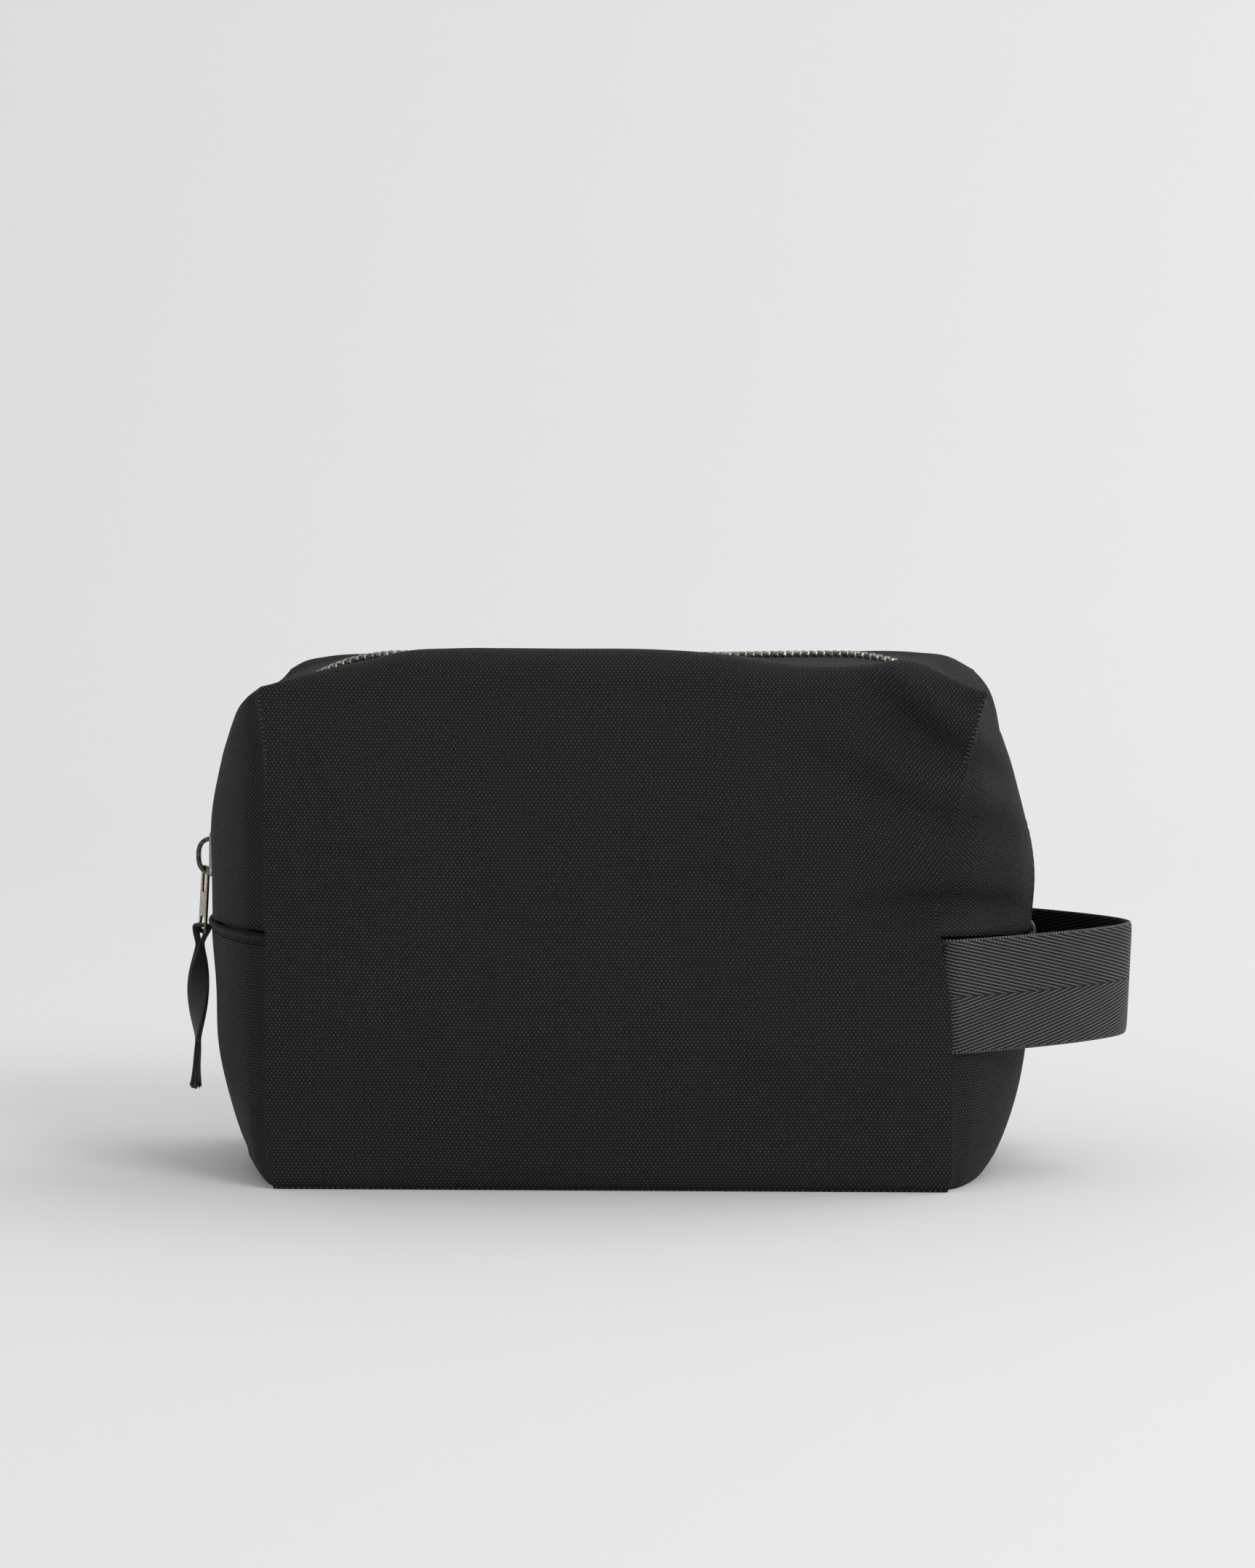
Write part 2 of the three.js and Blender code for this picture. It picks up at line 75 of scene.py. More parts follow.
SEAM_Z = span("left_end_lower")[1][2]
END_X = span("handle_loop")[1][0] - 30
ARC_X = -joints["slider_travel"]["pos_m"][0] / MM
ARC_Z = joints["slider_travel"]["pos_m"][2] / MM
ARC_R = END_X - ARC_X
WALL_Y = 57
SLOT = 6.2
FABRIC = 1.3
EDGE_DROP = 1.3
TEETH_DROP = 1.9
TOOTH_PITCH = 2.42

UPPER_Z = SEAM_Z + 1.2
HEM = 0.8
STRAIGHT = ARC_Z - SEAM_Z
ARC_LENGTH = math.pi / 2 * ARC_R
TRACK = 2 * (STRAIGHT + ARC_LENGTH + ARC_X)
EAR_S = STRAIGHT + ARC_LENGTH / 2


def smooth(x, low=0.0, high=1.0):
    """0 below low, 1 above high, and an eased rise between them."""
    t = np.clip((np.asarray(x, float) - low) / (high - low), 0, 1)
    return t * t * (3 - 2 * t)


def hump(x, middle, width):
    """1 at the middle, falling away to nothing on both sides."""
    return np.exp(-(((np.asarray(x, float) - middle) / width) ** 2))


def through(points, x):
    """A smooth curve through a few (x, y) points."""
    px, py = np.array(points, float).T
    slopes = np.gradient(py, px)
    x = np.clip(x, px[0], px[-1])
    i = np.clip(np.searchsorted(px, x) - 1, 0, len(px) - 2)
    step = px[i + 1] - px[i]
    t = (x - px[i]) / step
    h00, h10 = 2 * t**3 - 3 * t**2 + 1, t**3 - 2 * t**2 + t
    h01, h11 = -2 * t**3 + 3 * t**2, t**3 - t**2
    return h00 * py[i] + h10 * step * slopes[i] + h01 * py[i + 1] + h11 * step * slopes[i + 1]


# How far the zip leaves its arc, out and in at the right end, and sags on top
RIGHT_OUT = 1.3
RIGHT_IN = 2.5
TOP_SAG = 1.9


def track(s):
    """The zip's line over the bag: x, z and the outward normal at distance s from its left end."""
    s = np.asarray(s, float)
    right = s > TRACK / 2
    along = np.where(right, TRACK - s, s)
    sign = np.where(right, 1.0, -1.0)
    turn = np.clip((along - STRAIGHT) / ARC_R, 0, math.pi / 2)
    past = np.maximum(along - STRAIGHT - ARC_LENGTH, 0)
    below = np.minimum(along - STRAIGHT, 0)
    z = ARC_Z + ARC_R * np.sin(turn) + below
    x = sign * (ARC_X + ARC_R * np.cos(turn) - past)
    x = x + np.where(right, RIGHT_OUT * hump(z, 92, 11) - RIGHT_IN * hump(z, 119, 13), 0)
    z = z - TOP_SAG * hump(x, -12, 40)
    return x, z, sign * np.cos(turn), np.sin(turn)


# --- outline of the bag

SIDES = {"front": -1, "back": 1}

CREST = {
    "front": [(-107.6, 152.8), (-92, 157), (-76, 160.4), (-64, 163.2), (-50, 164.0), (-34, 164.1),
              (-16, 164.0), (12, 163.8), (28, 162.8), (42, 160.9), (50, 159.8), (58, 159.1), (68, 159.0),
              (78, 159.8),
              (87, 161.0), (93, 159.8), (99, 157.1), (105, 154.2), (112, 151.9)],
    "back": [(-108, 150.6), (-104, 153.0), (-96, 155.0), (-80, 156.3), (-50, 157.0), (0, 157.2), (60, 157.3),
             (92, 157.0), (102, 155.4), (110, 151)],
}


def seam_x(side, end, z):
    """Where a vertical corner seam stands, at height z."""
    if end < 0:
        return -106.2 - 2.3 * smooth(z, 132, 154) + 0.9 * (1 - smooth(z, 0, 22))
    if side == "back":
        return 104 + 5.5 * smooth(z, 100, 154) - 1.5 * hump(z, 86, 24)
    flare = np.clip((np.asarray(z, float) - 95) / 57.5, 0, 1) ** 1.8
    return 101.8 + 10.3 * flare - 4.2 * hump(z, 86, 22)


def seam_y(side, end, z):
    """How far a corner seam stands from the bag's middle plane, drawn in at its ear and at the loop."""
    pinch = 1.6 * hump(z, 86, 16) if end > 0 else 0
    return WALL_Y - 2.0 * smooth(z, 138, 154) - pinch


def crest_x(side, a):
    low, high = CREST[side][0][0], CREST[side][-1][0]
    return low + (high - low) * (np.asarray(a, float) + 1) / 2


def fold_radius(side, x):
    low, high = CREST[side][0][0], CREST[side][-1][0]
    return 2.2 + 8.8 * smooth(np.minimum((x - low) / 38, (high - x) / 30))


def end_x(z):
    """The middle line of an end panel below its seam."""
    low = np.maximum(1 - np.asarray(z, float) / 80, 0)
    return END_X - 0.3 - 8.5 * low**1.6 - 7.2 * low**8


# --- grids and meshes


def add_mesh(name, points, faces, cloth=None):
    """A smooth-shaded mesh from points in millimetres; cloth coordinates are kept per face corner."""
    mesh = bpy.data.meshes.new(name)
    mesh.from_pydata([tuple(p) for p in np.asarray(points, float) * MM], [], [tuple(f) for f in faces])
    if cloth is not None:
        corners = np.zeros(len(mesh.loops), int)
        mesh.loops.foreach_get("vertex_index", corners)
        layer = mesh.attributes.new("cloth", "FLOAT_VECTOR", "CORNER")
        layer.data.foreach_set("vector", np.asarray(cloth, np.float32).reshape(-1, 3)[corners].ravel())
    mesh.polygons.foreach_set("use_smooth", [True] * len(mesh.polygons))
    mesh.update()
    piece = bpy.data.objects.new(name, mesh)
    bpy.context.scene.collection.objects.link(piece)
    return piece


def grid_faces(rows, columns, flip=False, wrap=False, first=0):
    faces = []
    for i in range(rows - 1):
        for j in range(columns if wrap else columns - 1):
            a = first + i * columns + j
            b = first + i * columns + (j + 1) % columns
            face = (a, b, b + columns, a + columns)
            faces.append(face[::-1] if flip else face)
    return faces


def end_caps(rows, columns):
    """The two faces that close a wrapped grid."""
    last = (rows - 1) * columns
    return [tuple(range(columns))[::-1], tuple(range(last, last + columns))]


def grid_normals(grid):
    along = np.gradient(grid, axis=0)
    across = np.gradient(grid, axis=1)
    normals = np.cross(along, across)
    return normals / np.maximum(np.linalg.norm(normals, axis=2, keepdims=True), 1e-9)


def grid_lengths(grid):
    """Distances along the rows and columns of a grid, averaged so that threads run straight."""
    rows = np.linalg.norm(np.diff(grid, axis=0), axis=2)
    columns = np.linalg.norm(np.diff(grid, axis=1), axis=2)
    down = np.concatenate([[0], np.cumsum(rows.mean(axis=1))])
    across = np.concatenate([np.zeros((grid.shape[0], 1)), np.cumsum(columns, axis=1)], axis=1)
    return down, across


def roughen(grid, amount, scale, seed, fade):
    """Moves a grid along its normals by slow noise, as cloth that has been handled."""
    normals = grid_normals(grid)
    moved = grid.copy()
    for i in range(grid.shape[0]):
        for j in range(grid.shape[1]):
            p = Vector(grid[i, j] / scale) + Vector((seed, seed * 1.7, seed * 0.3))
            moved[i, j] += normals[i, j] * amount * fade[i, j] * noise.noise(p)
    return moved


def thicken(piece, amount):
    """Gives a single sheet its thickness, inwards from the face."""
    modifier = piece.modifiers.new("thickness", "SOLIDIFY")
    modifier.thickness = amount * MM
    modifier.offset = -1
    modifier.use_even_offset = False
    modifier.thickness_clamp = 1.0
    depsgraph = bpy.context.evaluated_depsgraph_get()
    mesh = bpy.data.meshes.new_from_object(piece.evaluated_get(depsgraph))
    piece.modifiers.clear()
    piece.data = mesh


# --- shell panels


LOWER_ROWS = 30


def wall_grid(side, columns=96, rows=64, fold_rows=9):
    """The front or back wall, from the base edge up and over the rounded top edge to its crest."""
    sign = SIDES[side]
    a = np.sin(np.linspace(-1, 1, columns) * math.pi / 2 * 0.93) / math.sin(math.pi / 2 * 0.93)
    top_x = crest_x(side, a)
    crest = through(CREST[side], top_x)
    radius = fold_radius(side, top_x)
    share = (a + 1) / 2
    grid = np.zeros((rows + fold_rows, columns, 3))
    for i in range(rows):
        if i <= LOWER_ROWS:
            z = np.full(columns, UPPER_Z * i / LOWER_ROWS)
        else:
            z = UPPER_Z + (crest - radius - UPPER_Z) * ((i - LOWER_ROWS) / (rows - 1 - LOWER_ROWS)) ** 0.94
        left, right = seam_x(side, -1, z), seam_x(side, 1, z)
        edge = seam_y(side, -1, z) * (1 - share) + seam_y(side, 1, z) * share
        middle = np.cos(a * math.pi / 2)
        belly = 3.6 * middle**0.8 * np.sin(math.pi * np.clip(z / 168, 0, 1)) ** 0.7
        belly = belly - 3.4 * middle**0.5 * smooth(z, 104, 168)
        foot = (1 - smooth(z, 0, 6)) ** 2
        x = left + (right - left) * share - 1.3 * a * foot
        grid[i] = np.stack([x, sign * (edge + belly - 1.5 * foot), z], axis=1)
    for k in range(1, fold_rows + 1):
        turn = math.pi / 2 * k / fold_rows
        base = grid[rows - 1]
        z = crest - radius + radius * math.sin(turn)
        y = np.abs(base[:, 1]) - radius * (1 - math.cos(turn))
        x = base[:, 0] + (top_x - base[:, 0]) * math.sin(turn)
        grid[rows - 1 + k] = np.stack([x, sign * y, z], axis=1)
    return grid


def dents(grid, side):
    """The soft creases of one wall: drawn in at the loop, and folded below the right ear."""
    x, z = grid[..., 0], grid[..., 2]
    push = np.zeros(x.shape)
    if side == "front":
        valley_z = 87 + 0.05 * (x - 100)
        push += 6.0 * hump(z, valley_z, 4.4) * smooth(x, 56, 100)
        push -= 3.6 * hump(z, valley_z - 9, 5.5) * smooth(x, 58, 94)
        push += 1.6 * hump(z, 96, 20) * smooth(x, 40, 100)
        fold = (x - 86) * 0.60 + (z - 150) * 0.80
        push += 4.6 * hump(fold, -5, 5.0) * smooth(x, 66, 96) * smooth(z, 120, 142)
        push -= 3.0 * hump(fold, 4, 5) * smooth(x, 68, 92) * smooth(z, 124, 146)
        lower_fold = (x - 80) * 0.45 + (z - 128) * 0.89
        push += 3.4 * hump(lower_fold, -8, 7) * smooth(x, 40, 84) * smooth(z, 96, 118)
        push -= 2.6 * hump(lower_fold, 3, 7) * smooth(x, 44, 86) * smooth(z, 100, 122)
        push += 1.6 * hump(x, 62, 16) * smooth(z, 126, 158)
        push += 1.2 * hump(x, -78, 15) * smooth(z, 134, 158)
        push += 0.8 * hump(x, -96, 7) * hump(z, 130, 22)
    else:
        push += 3.2 * hump(z, 86, 7) * smooth(x, 58, 104)
        push -= 1.8 * hump(z, 75, 7) * smooth(x, 60, 100)
        push += 2.0 * hump(x, 20, 26) * smooth(z, 120, 155)
        push += 1.8 * hump(x, -60, 18) * smooth(z, 115, 155)
        fold = (-x - 84) * 0.62 + (z - 146) * 0.78
        push += 2.6 * hump(fold, -6, 6) * smooth(-x, 60, 96) * smooth(z, 112, 140)
        push -= 1.8 * hump(fold, 5, 6) * smooth(-x, 60, 92) * smooth(z, 118, 144)
        crease = (x - 80) * 0.5 + (z - 130) * 0.87
        push += 2.4 * hump(crease, -6, 7) * smooth(x, 40, 84) * smooth(z, 96, 120)
    hold = smooth(z, 0, 14)
    moved = grid.copy()
    moved[..., 1] -= SIDES[side] * push * hold
    return moved


def wall_edge(wall, end, z):
    """The point of a wall's corner seam at height z."""
    column = wall[:, 0 if end < 0 else -1]
    return np.stack([np.interp(z, column[:, 2], column[:, i]) for i in (0, 1, 2)], axis=-1)


def end_fullness(e):
    """How far an end panel has swelled out at e, from its corner seam (1) to the bag's middle plane (0)."""
    e = np.abs(e)
    return np.clip(1 - e**2.3, 0, 1) ** 1.1 - 0.12 * hump(e, 0.92, 0.06)


def seam_arch(end, e):
    """How the seam across an end rises or dips between its corners."""
    return (1.0 if end < 0 else -2.6) * (1 - np.abs(e) ** 2)


# How far the end gussets puff out below each ear: beside the corner seam, and towards the zip
FULL_OUT = {
    ("front", -1): (0.6, 6.0), ("front", 1): (0.2, 1.6),
    ("back", -1): (0.62, 5.0), ("back", 1): (0.34, 3.0),
}


FRONT_LIP_FALL = 3.8
BACK_LIP_FALL = 0.4


def lip_fall(side, x):
    """How much lower than the zip the front half's edge lies, where the mouth gapes."""
    reach = np.abs(x)
    if side == "back":
        return BACK_LIP_FALL + 0 * reach
    return FRONT_LIP_FALL * smooth(reach, 26, 48) * smooth(104 - reach, 0, 20)


def ribbon_grid(side, wall, drop=EDGE_DROP, slot=SLOT, steps=26):
    """The rest of a half shell: from the corner seams and the top crest across to the zip's edge."""
    sign = SIDES[side]
    top = len(wall) - 1
    border = [(wall[i, 0], -1) for i in range(LOWER_ROWS, top)]
    border += [(wall[top, j], 0) for j in range(wall.shape[1])]
    border += [(wall[i, -1], 1) for i in range(top - 1, LOWER_ROWS - 1, -1)]
    sides_count = top - LOWER_ROWS
    grid = np.zeros((len(border), steps, 3))
    t = np.linspace(0, 1, steps)[:, None]
    for k, (start, end) in enumerate(border):
        if end:
            along = (k if end < 0 else len(border) - 1 - k) / sides_count
            s = EAR_S * along if end < 0 else TRACK - EAR_S * along
        else:
            share = (k - sides_count) / (wall.shape[1] - 1)
            spread = (share + (start[0] - wall[top, 0, 0]) / (wall[top, -1, 0] - wall[top, 0, 0])) / 2
            s = EAR_S + (TRACK - 2 * EAR_S) * spread
        x, z, nx, nz = track(s)
        normal = np.array([nx, 0, nz])
        edge_drop = drop + lip_fall(side, x)
        stop = np.array([x, sign * slot, z]) - normal * edge_drop
        if end:
            full_out = 1 - smooth(along, 0.68, 0.99) if side == "front" else 1 - smooth(along, 0.84, 1.0)
            out = np.array([end * FULL_OUT[side, end][0] * full_out, -sign * 1.0, -0.10])
            swell, pull, reach = 1.6 + FULL_OUT[side, end][1] * full_out, 20.0, 10.0
        else:
            corner = 1 - smooth(min(share, 1 - share), 0, 0.10)
            sag = (5.0 if side == "front" else 2.0) * (1 - corner)
            out = np.array([0.0, -sign * 1.0, -0.10])
            swell, pull, reach = 1.6 * corner - sag, 20.0, 10.0
        near = start + out * reach
        far = stop + np.array([0, sign * pull, 0]) + normal * swell
        curve = (1 - t) ** 3 * start + 3 * (1 - t) ** 2 * t * near + 3 * (1 - t) * t**2 * far + t**3 * stop
        if end:
            e = np.linspace(abs(start[1]), slot, steps) / abs(start[1])
            full = end_fullness(e) / end_fullness(slot / abs(start[1]))
            full = full + (0.03 if end < 0 else -0.02) * hump(e, 0.3, 0.17)
            panel = start + (stop - start) * full[:, None]
            panel[:, 1] = np.linspace(start[1], stop[1], steps)
            panel[:, 2] = start[2] + (stop[2] - start[2]) * smooth(1 - e) + (
                seam_arch(end, e) + 0.3) * (1 - smooth(along, 0, 0.35))
            curve = panel + (curve - panel) * smooth(along, 0.25, 1.0)
        grid[k] = curve
    return grid


def edge_fade(rows, columns, share=0.12):
    """How freely each point of a grid may move: not at all at its edges."""
    i = np.minimum(np.arange(rows), np.arange(rows)[::-1]) / (rows - 1)
    j = np.minimum(np.arange(columns), np.arange(columns)[::-1]) / (columns - 1)
    return smooth(i, 0, share)[:, None] * smooth(j, 0, share)[None, :]


def joined(name, grids, cloths, flips, seams=None):
    """One mesh from several grids; seams says which of their points lie on a sewn corner."""
    points, faces, cloth = [], [], []
    for grid, uv, flip in zip(grids, cloths, flips):
        faces += grid_faces(grid.shape[0], grid.shape[1], flip=flip, first=sum(len(p) for p in points))
        points.append(grid.reshape(-1, 3))
        cloth.append(uv.reshape(-1, 3))
    piece = add_mesh(name, np.concatenate(points), faces, np.concatenate(cloth))
    if seams is not None:
        weld(piece, np.concatenate([seam.ravel() for seam in seams]))
    return piece


def weld(piece, on_seam):
    """Welds the grids' shared edges, and keeps the sewn corners crisp."""
    mesh = bmesh.new()
    mesh.from_mesh(piece.data)
    layer = mesh.verts.layers.int.new("seam")
    for vertex, seam in zip(mesh.verts, on_seam):
        vertex[layer] = int(seam)
    bmesh.ops.remove_doubles(mesh, verts=mesh.verts, dist=0.02 * MM)
    for edge in mesh.edges:
        edge.smooth = not all(vertex[layer] for vertex in edge.verts)
    mesh.verts.layers.int.remove(layer)
    mesh.to_mesh(piece.data)
    mesh.free()


def face_outwards(piece):
    """Turns every face of a closed mesh outwards."""
    mesh = bmesh.new()
    mesh.from_mesh(piece.data)
    bmesh.ops.recalc_face_normals(mesh, faces=mesh.faces)
    mesh.to_mesh(piece.data)
    mesh.free()
    return piece


def corner_seams(wall, ribbon):
    """Which points of a half shell's two grids lie on its corner seams."""
    on_wall = np.zeros(wall.shape[:2], bool)
    on_wall[:, [0, -1]] = True
    on_ribbon = np.zeros(ribbon.shape[:2], bool)
    ends = len(wall) - LOWER_ROWS
    on_ribbon[:ends, 0] = on_ribbon[-ends:, 0] = True
    return [on_wall, on_ribbon]


def cloth_of(grid, swap=False):
    """Cloth coordinates of a panel: distances down and across it."""
    down, v = grid_lengths(grid)
    u = np.broadcast_to(down[:, None], v.shape)
    flat = np.zeros(grid.shape)
    flat[..., 0], flat[..., 1] = (v, u) if swap else (u, v)
    return flat


def half_shell(side):
    """The wall of one half and the panel from its edges to the zip, both creased and softened."""
    wall = dents(wall_grid(side), side)
    fade = edge_fade(*wall.shape[:2])
    fade *= smooth(np.arange(len(wall))[::-1], 9, 24)[:, None]
    wall = roughen(wall, 2.6 if side == "front" else 4.2, 46, 3.1 if side == "front" else 8.4, fade)
    wall = roughen(wall, 1.1, 17, 6.3, fade)
    return wall, softened(ribbon_grid(side, wall), side)


def softened(ribbon, side):
    fade = edge_fade(*ribbon.shape[:2], share=0.2)
    return roughen(ribbon, 2.0, 30, 5.2 if side == "front" else 9.9, fade)


def flat_cloth(grid):
    """Cloth coordinates of a wall: threads run level and upright."""
    flat = np.zeros(grid.shape)
    flat[..., 0] = grid[..., 0]
    rise = np.linalg.norm(np.diff(grid[..., 1:], axis=0), axis=2)
    flat[1:, :, 1] = np.cumsum(rise, axis=0)
    return flat


# --- materials


class Nodes:
    """A short way to write a material's node tree."""

    def __init__(self, name):
        self.material = bpy.data.materials.new(name)
        self.material.use_nodes = True
        self.tree = self.material.node_tree
        self.shader = self.tree.nodes["Principled BSDF"]

    def put(self, kind, **inputs):
        node = self.tree.nodes.new("ShaderNode" + kind)
        for key, value in inputs.items():
            self.set(node, key, value)
        return node

    def set(self, node, key, value):
        socket = node.inputs[int(key[1:]) if key[0] == "i" and key[1:].isdigit() else key]
        if isinstance(value, bpy.types.NodeSocket):
            self.tree.links.new(value, socket)
        else:
            socket.default_value = value

    def math(self, operation, a, b=0.0, c=0.0):
        node = self.put("Math", i0=a, i1=b, i2=c)
        node.operation = operation
        return node.outputs[0]

    def cloth(self):
        node = self.put("Attribute")
        node.attribute_name = "cloth"
        split = self.put("SeparateXYZ", i0=node.outputs["Vector"])
        return split.outputs[0], split.outputs[1], node.outputs["Vector"]

    def place(self):
        return self.put("TexCoord").outputs["Object"]

    def noise(self, vector, scale, detail=3.0):
        return self.put("TexNoise", Vector=vector, Scale=scale, Detail=detail).outputs[0]

    def ramp(self, value, low, high):
        node = self.put("MapRange", i0=value, i1=low, i2=high)
        node.interpolation_type = "SMOOTHSTEP"
        return node.outputs[0]

    def mix(self, factor, a, b):
        node = self.tree.nodes.new("ShaderNodeMix")
        node.data_type = "RGBA"
        for socket, value in ((0, factor), (6, a), (7, b)):
            if isinstance(value, bpy.types.NodeSocket):
                self.tree.links.new(value, node.inputs[socket])
            else:
                node.inputs[socket].default_value = value
        return node.outputs[2]

    def bump(self, height, distance, strength=1.0):
        node = self.put("Bump", Height=height, Distance=distance, Strength=strength)
        self.set(self.shader, "Normal", node.outputs[0])

    def finish(self, **sockets):
        for key, value in sockets.items():
            self.set(self.shader, key.replace("_", " "), value)
        return self.material


def grey(value):
    return (value, value, value * 1.01, 1)


def woven_shell(name, dark=0.018, light=0.110, warp=0.61, weft=0.92):
    """Plain-weave nylon: two sets of yarn floats in a chequer, in cloth millimetres."""
    n = Nodes(name)
    u, v, _ = n.cloth()
    place = n.place()
    drift = n.noise(place, 260.0, 2.0)
    u = n.math("ADD", u, n.math("MULTIPLY", drift, 0.10))
    across = n.math("COSINE", n.math("MULTIPLY", u, math.pi / warp))
    along = n.math("COSINE", n.math("MULTIPLY", v, math.pi / weft))
    checker = n.math("MULTIPLY", across, along)
    floats = n.ramp(checker, 0.28, 0.98)
    slubs = n.ramp(n.noise(place, 900.0, 2.0), 0.25, 0.8)
    tone = n.math("MULTIPLY", floats, n.math("ADD", n.math("MULTIPLY", slubs, 0.75), 0.4))
    blotches = n.ramp(n.noise(place, 26.0, 3.0), 0.2, 0.8)
    tone = n.math("MULTIPLY", tone, n.math("ADD", n.math("MULTIPLY", blotches, 0.25), 0.85))
    colour = n.mix(tone, grey(dark), grey(light))
    lift = n.math("ADD", n.math("ABSOLUTE", checker), n.math("MULTIPLY", floats, 0.5))
    n.bump(lift, 0.00022, 1.0)
    roughness = n.math("ADD", n.math("MULTIPLY", floats, -0.20), 0.60)
    return n.finish(Base_Color=colour, Roughness=roughness, Specular_IOR_Level=0.045)


def smooth_cloth(name, dark, light, pitch=0.32):
    """A fine lining: a small diagonal twill with a soft sheen."""
    n = Nodes(name)
    u, v, _ = n.cloth()
    wave = n.math("SINE", n.math("MULTIPLY", n.math("ADD", u, v), 2 * math.pi / (pitch * 2.4)))
    cross = n.math("SINE", n.math("MULTIPLY", u, 2 * math.pi / pitch / 2))
    tone = n.ramp(n.math("ADD", wave, n.math("MULTIPLY", cross, 0.5)), -1.2, 1.3)
    cloud = n.noise(n.place(), 40.0, 3.0)
    tone = n.math("MULTIPLY", tone, n.math("ADD", n.math("MULTIPLY", cloud, 0.5), 0.7))
    n.bump(tone, 0.00008, 0.7)
    return n.finish(Base_Color=n.mix(tone, grey(dark), grey(light)), Roughness=0.55, Sheen_Weight=0.25)


def herringbone(name, dark=0.012, light=0.140, rib=1.07, slope=0.249, dash=1.35):
    """Chevron twill webbing: fine ribs that meet along the strap's middle line."""
    n = Nodes(name)
    u, v, _ = n.cloth()
    lean = n.math("ADD", n.math("ABSOLUTE", v), n.math("MULTIPLY", u, slope))
    phase = n.math("MULTIPLY", lean, 2 * math.pi / rib)
    ribs = n.math("SINE", phase)
    steps = n.math("FLOOR", n.math("DIVIDE", lean, rib))
    shift = n.math("MULTIPLY", steps, dash * 0.37)
    yarns = n.math("SINE", n.math("MULTIPLY", n.math("ADD", u, shift), 2 * math.pi / dash))
    floats = n.ramp(n.math("ADD", ribs, n.math("MULTIPLY", yarns, 0.22)), -0.10, 0.90)
    middle = n.ramp(n.math("ABSOLUTE", v), 0.0, 0.55)
    selvedge = n.ramp(n.math("ABSOLUTE", v), 16.7, 17.0)
    picks = n.ramp(n.math("SINE", n.math("MULTIPLY", u, 2 * math.pi / 1.1)), -0.6, 0.6)
    floats = n.math("MULTIPLY", floats, n.math("ADD", n.math("MULTIPLY", middle, 0.7), 0.3))
    blend = n.put("Mix", i0=selvedge, i2=floats, i3=picks)
    tone = blend.outputs[0]
    cloud = n.noise(n.place(), 90.0, 3.0)
    shade = n.math("MULTIPLY", tone, n.math("ADD", n.math("MULTIPLY", cloud, 0.6), 0.62))
    n.bump(tone, 0.00026, 0.9)
    roughness = n.math("ADD", n.math("MULTIPLY", tone, -0.16), 0.58)
    return n.finish(Base_Color=n.mix(shade, grey(dark), grey(light)), Roughness=roughness,
                    Specular_IOR_Level=0.16)


def narrow_tape(name, dark=0.008, light=0.035, rib=0.62):
    """Woven tape: ribs along its length with a pick across them."""
    n = Nodes(name)
    u, v, _ = n.cloth()
    ribs = n.math("SINE", n.math("MULTIPLY", v, 2 * math.pi / rib))
    picks = n.math("SINE", n.math("MULTIPLY", n.math("ADD", u, v), 2 * math.pi / 0.8))
    tone = n.ramp(n.math("ADD", ribs, n.math("MULTIPLY", picks, 0.6)), -1.3, 1.3)
    cloud = n.noise(n.place(), 300.0, 3.0)
    shade = n.math("MULTIPLY", tone, n.math("ADD", n.math("MULTIPLY", cloud, 0.7), 0.5))
    n.bump(tone, 0.00012, 0.9)
    return n.finish(Base_Color=n.mix(shade, grey(dark), grey(light)), Roughness=0.7, Sheen_Weight=0.15)


def plated(name, colour, worn, roughness, scale=700.0):
    """Tumbled metal plating: darker in its pores, brighter where it has rubbed."""
    n = Nodes(name)
    place = n.place()
    pores = n.ramp(n.noise(place, scale, 5.0), 0.35, 0.75)
    patches = n.ramp(n.noise(place, scale * 0.16, 3.0), 0.3, 0.7)
    rub = n.math("MULTIPLY", pores, n.math("ADD", n.math("MULTIPLY", patches, 0.6), 0.3))
    n.bump(pores, 0.00003, 0.6)
    gloss = n.math("ADD", n.math("MULTIPLY", pores, -0.12), roughness)
    return n.finish(Base_Color=n.mix(rub, colour, worn), Metallic=1.0, Roughness=gloss)


def thread(name, value=0.007):
    n = Nodes(name)
    twist = n.put("TexWave", Vector=n.place(), Scale=900.0, Distortion=1.0).outputs[1]
    n.bump(twist, 0.00005, 0.6)
    return n.finish(Base_Color=n.mix(twist, grey(value * 0.4), grey(value)), Roughness=0.7,
                    Specular_IOR_Level=0.05)


def sheet_board(name):
    n = Nodes(name)
    grain = n.noise(n.place(), 400.0, 4.0)
    n.bump(grain, 0.00008, 0.5)
    return n.finish(Base_Color=n.mix(grain, grey(0.02), grey(0.045)), Roughness=0.6)


def backdrop(name, value=0.83):
    n = Nodes(name)
    tone = n.noise(n.place(), 1.4, 2.0)
    return n.finish(Base_Color=n.mix(tone, grey(value), grey(value + 0.012)), Roughness=0.9)


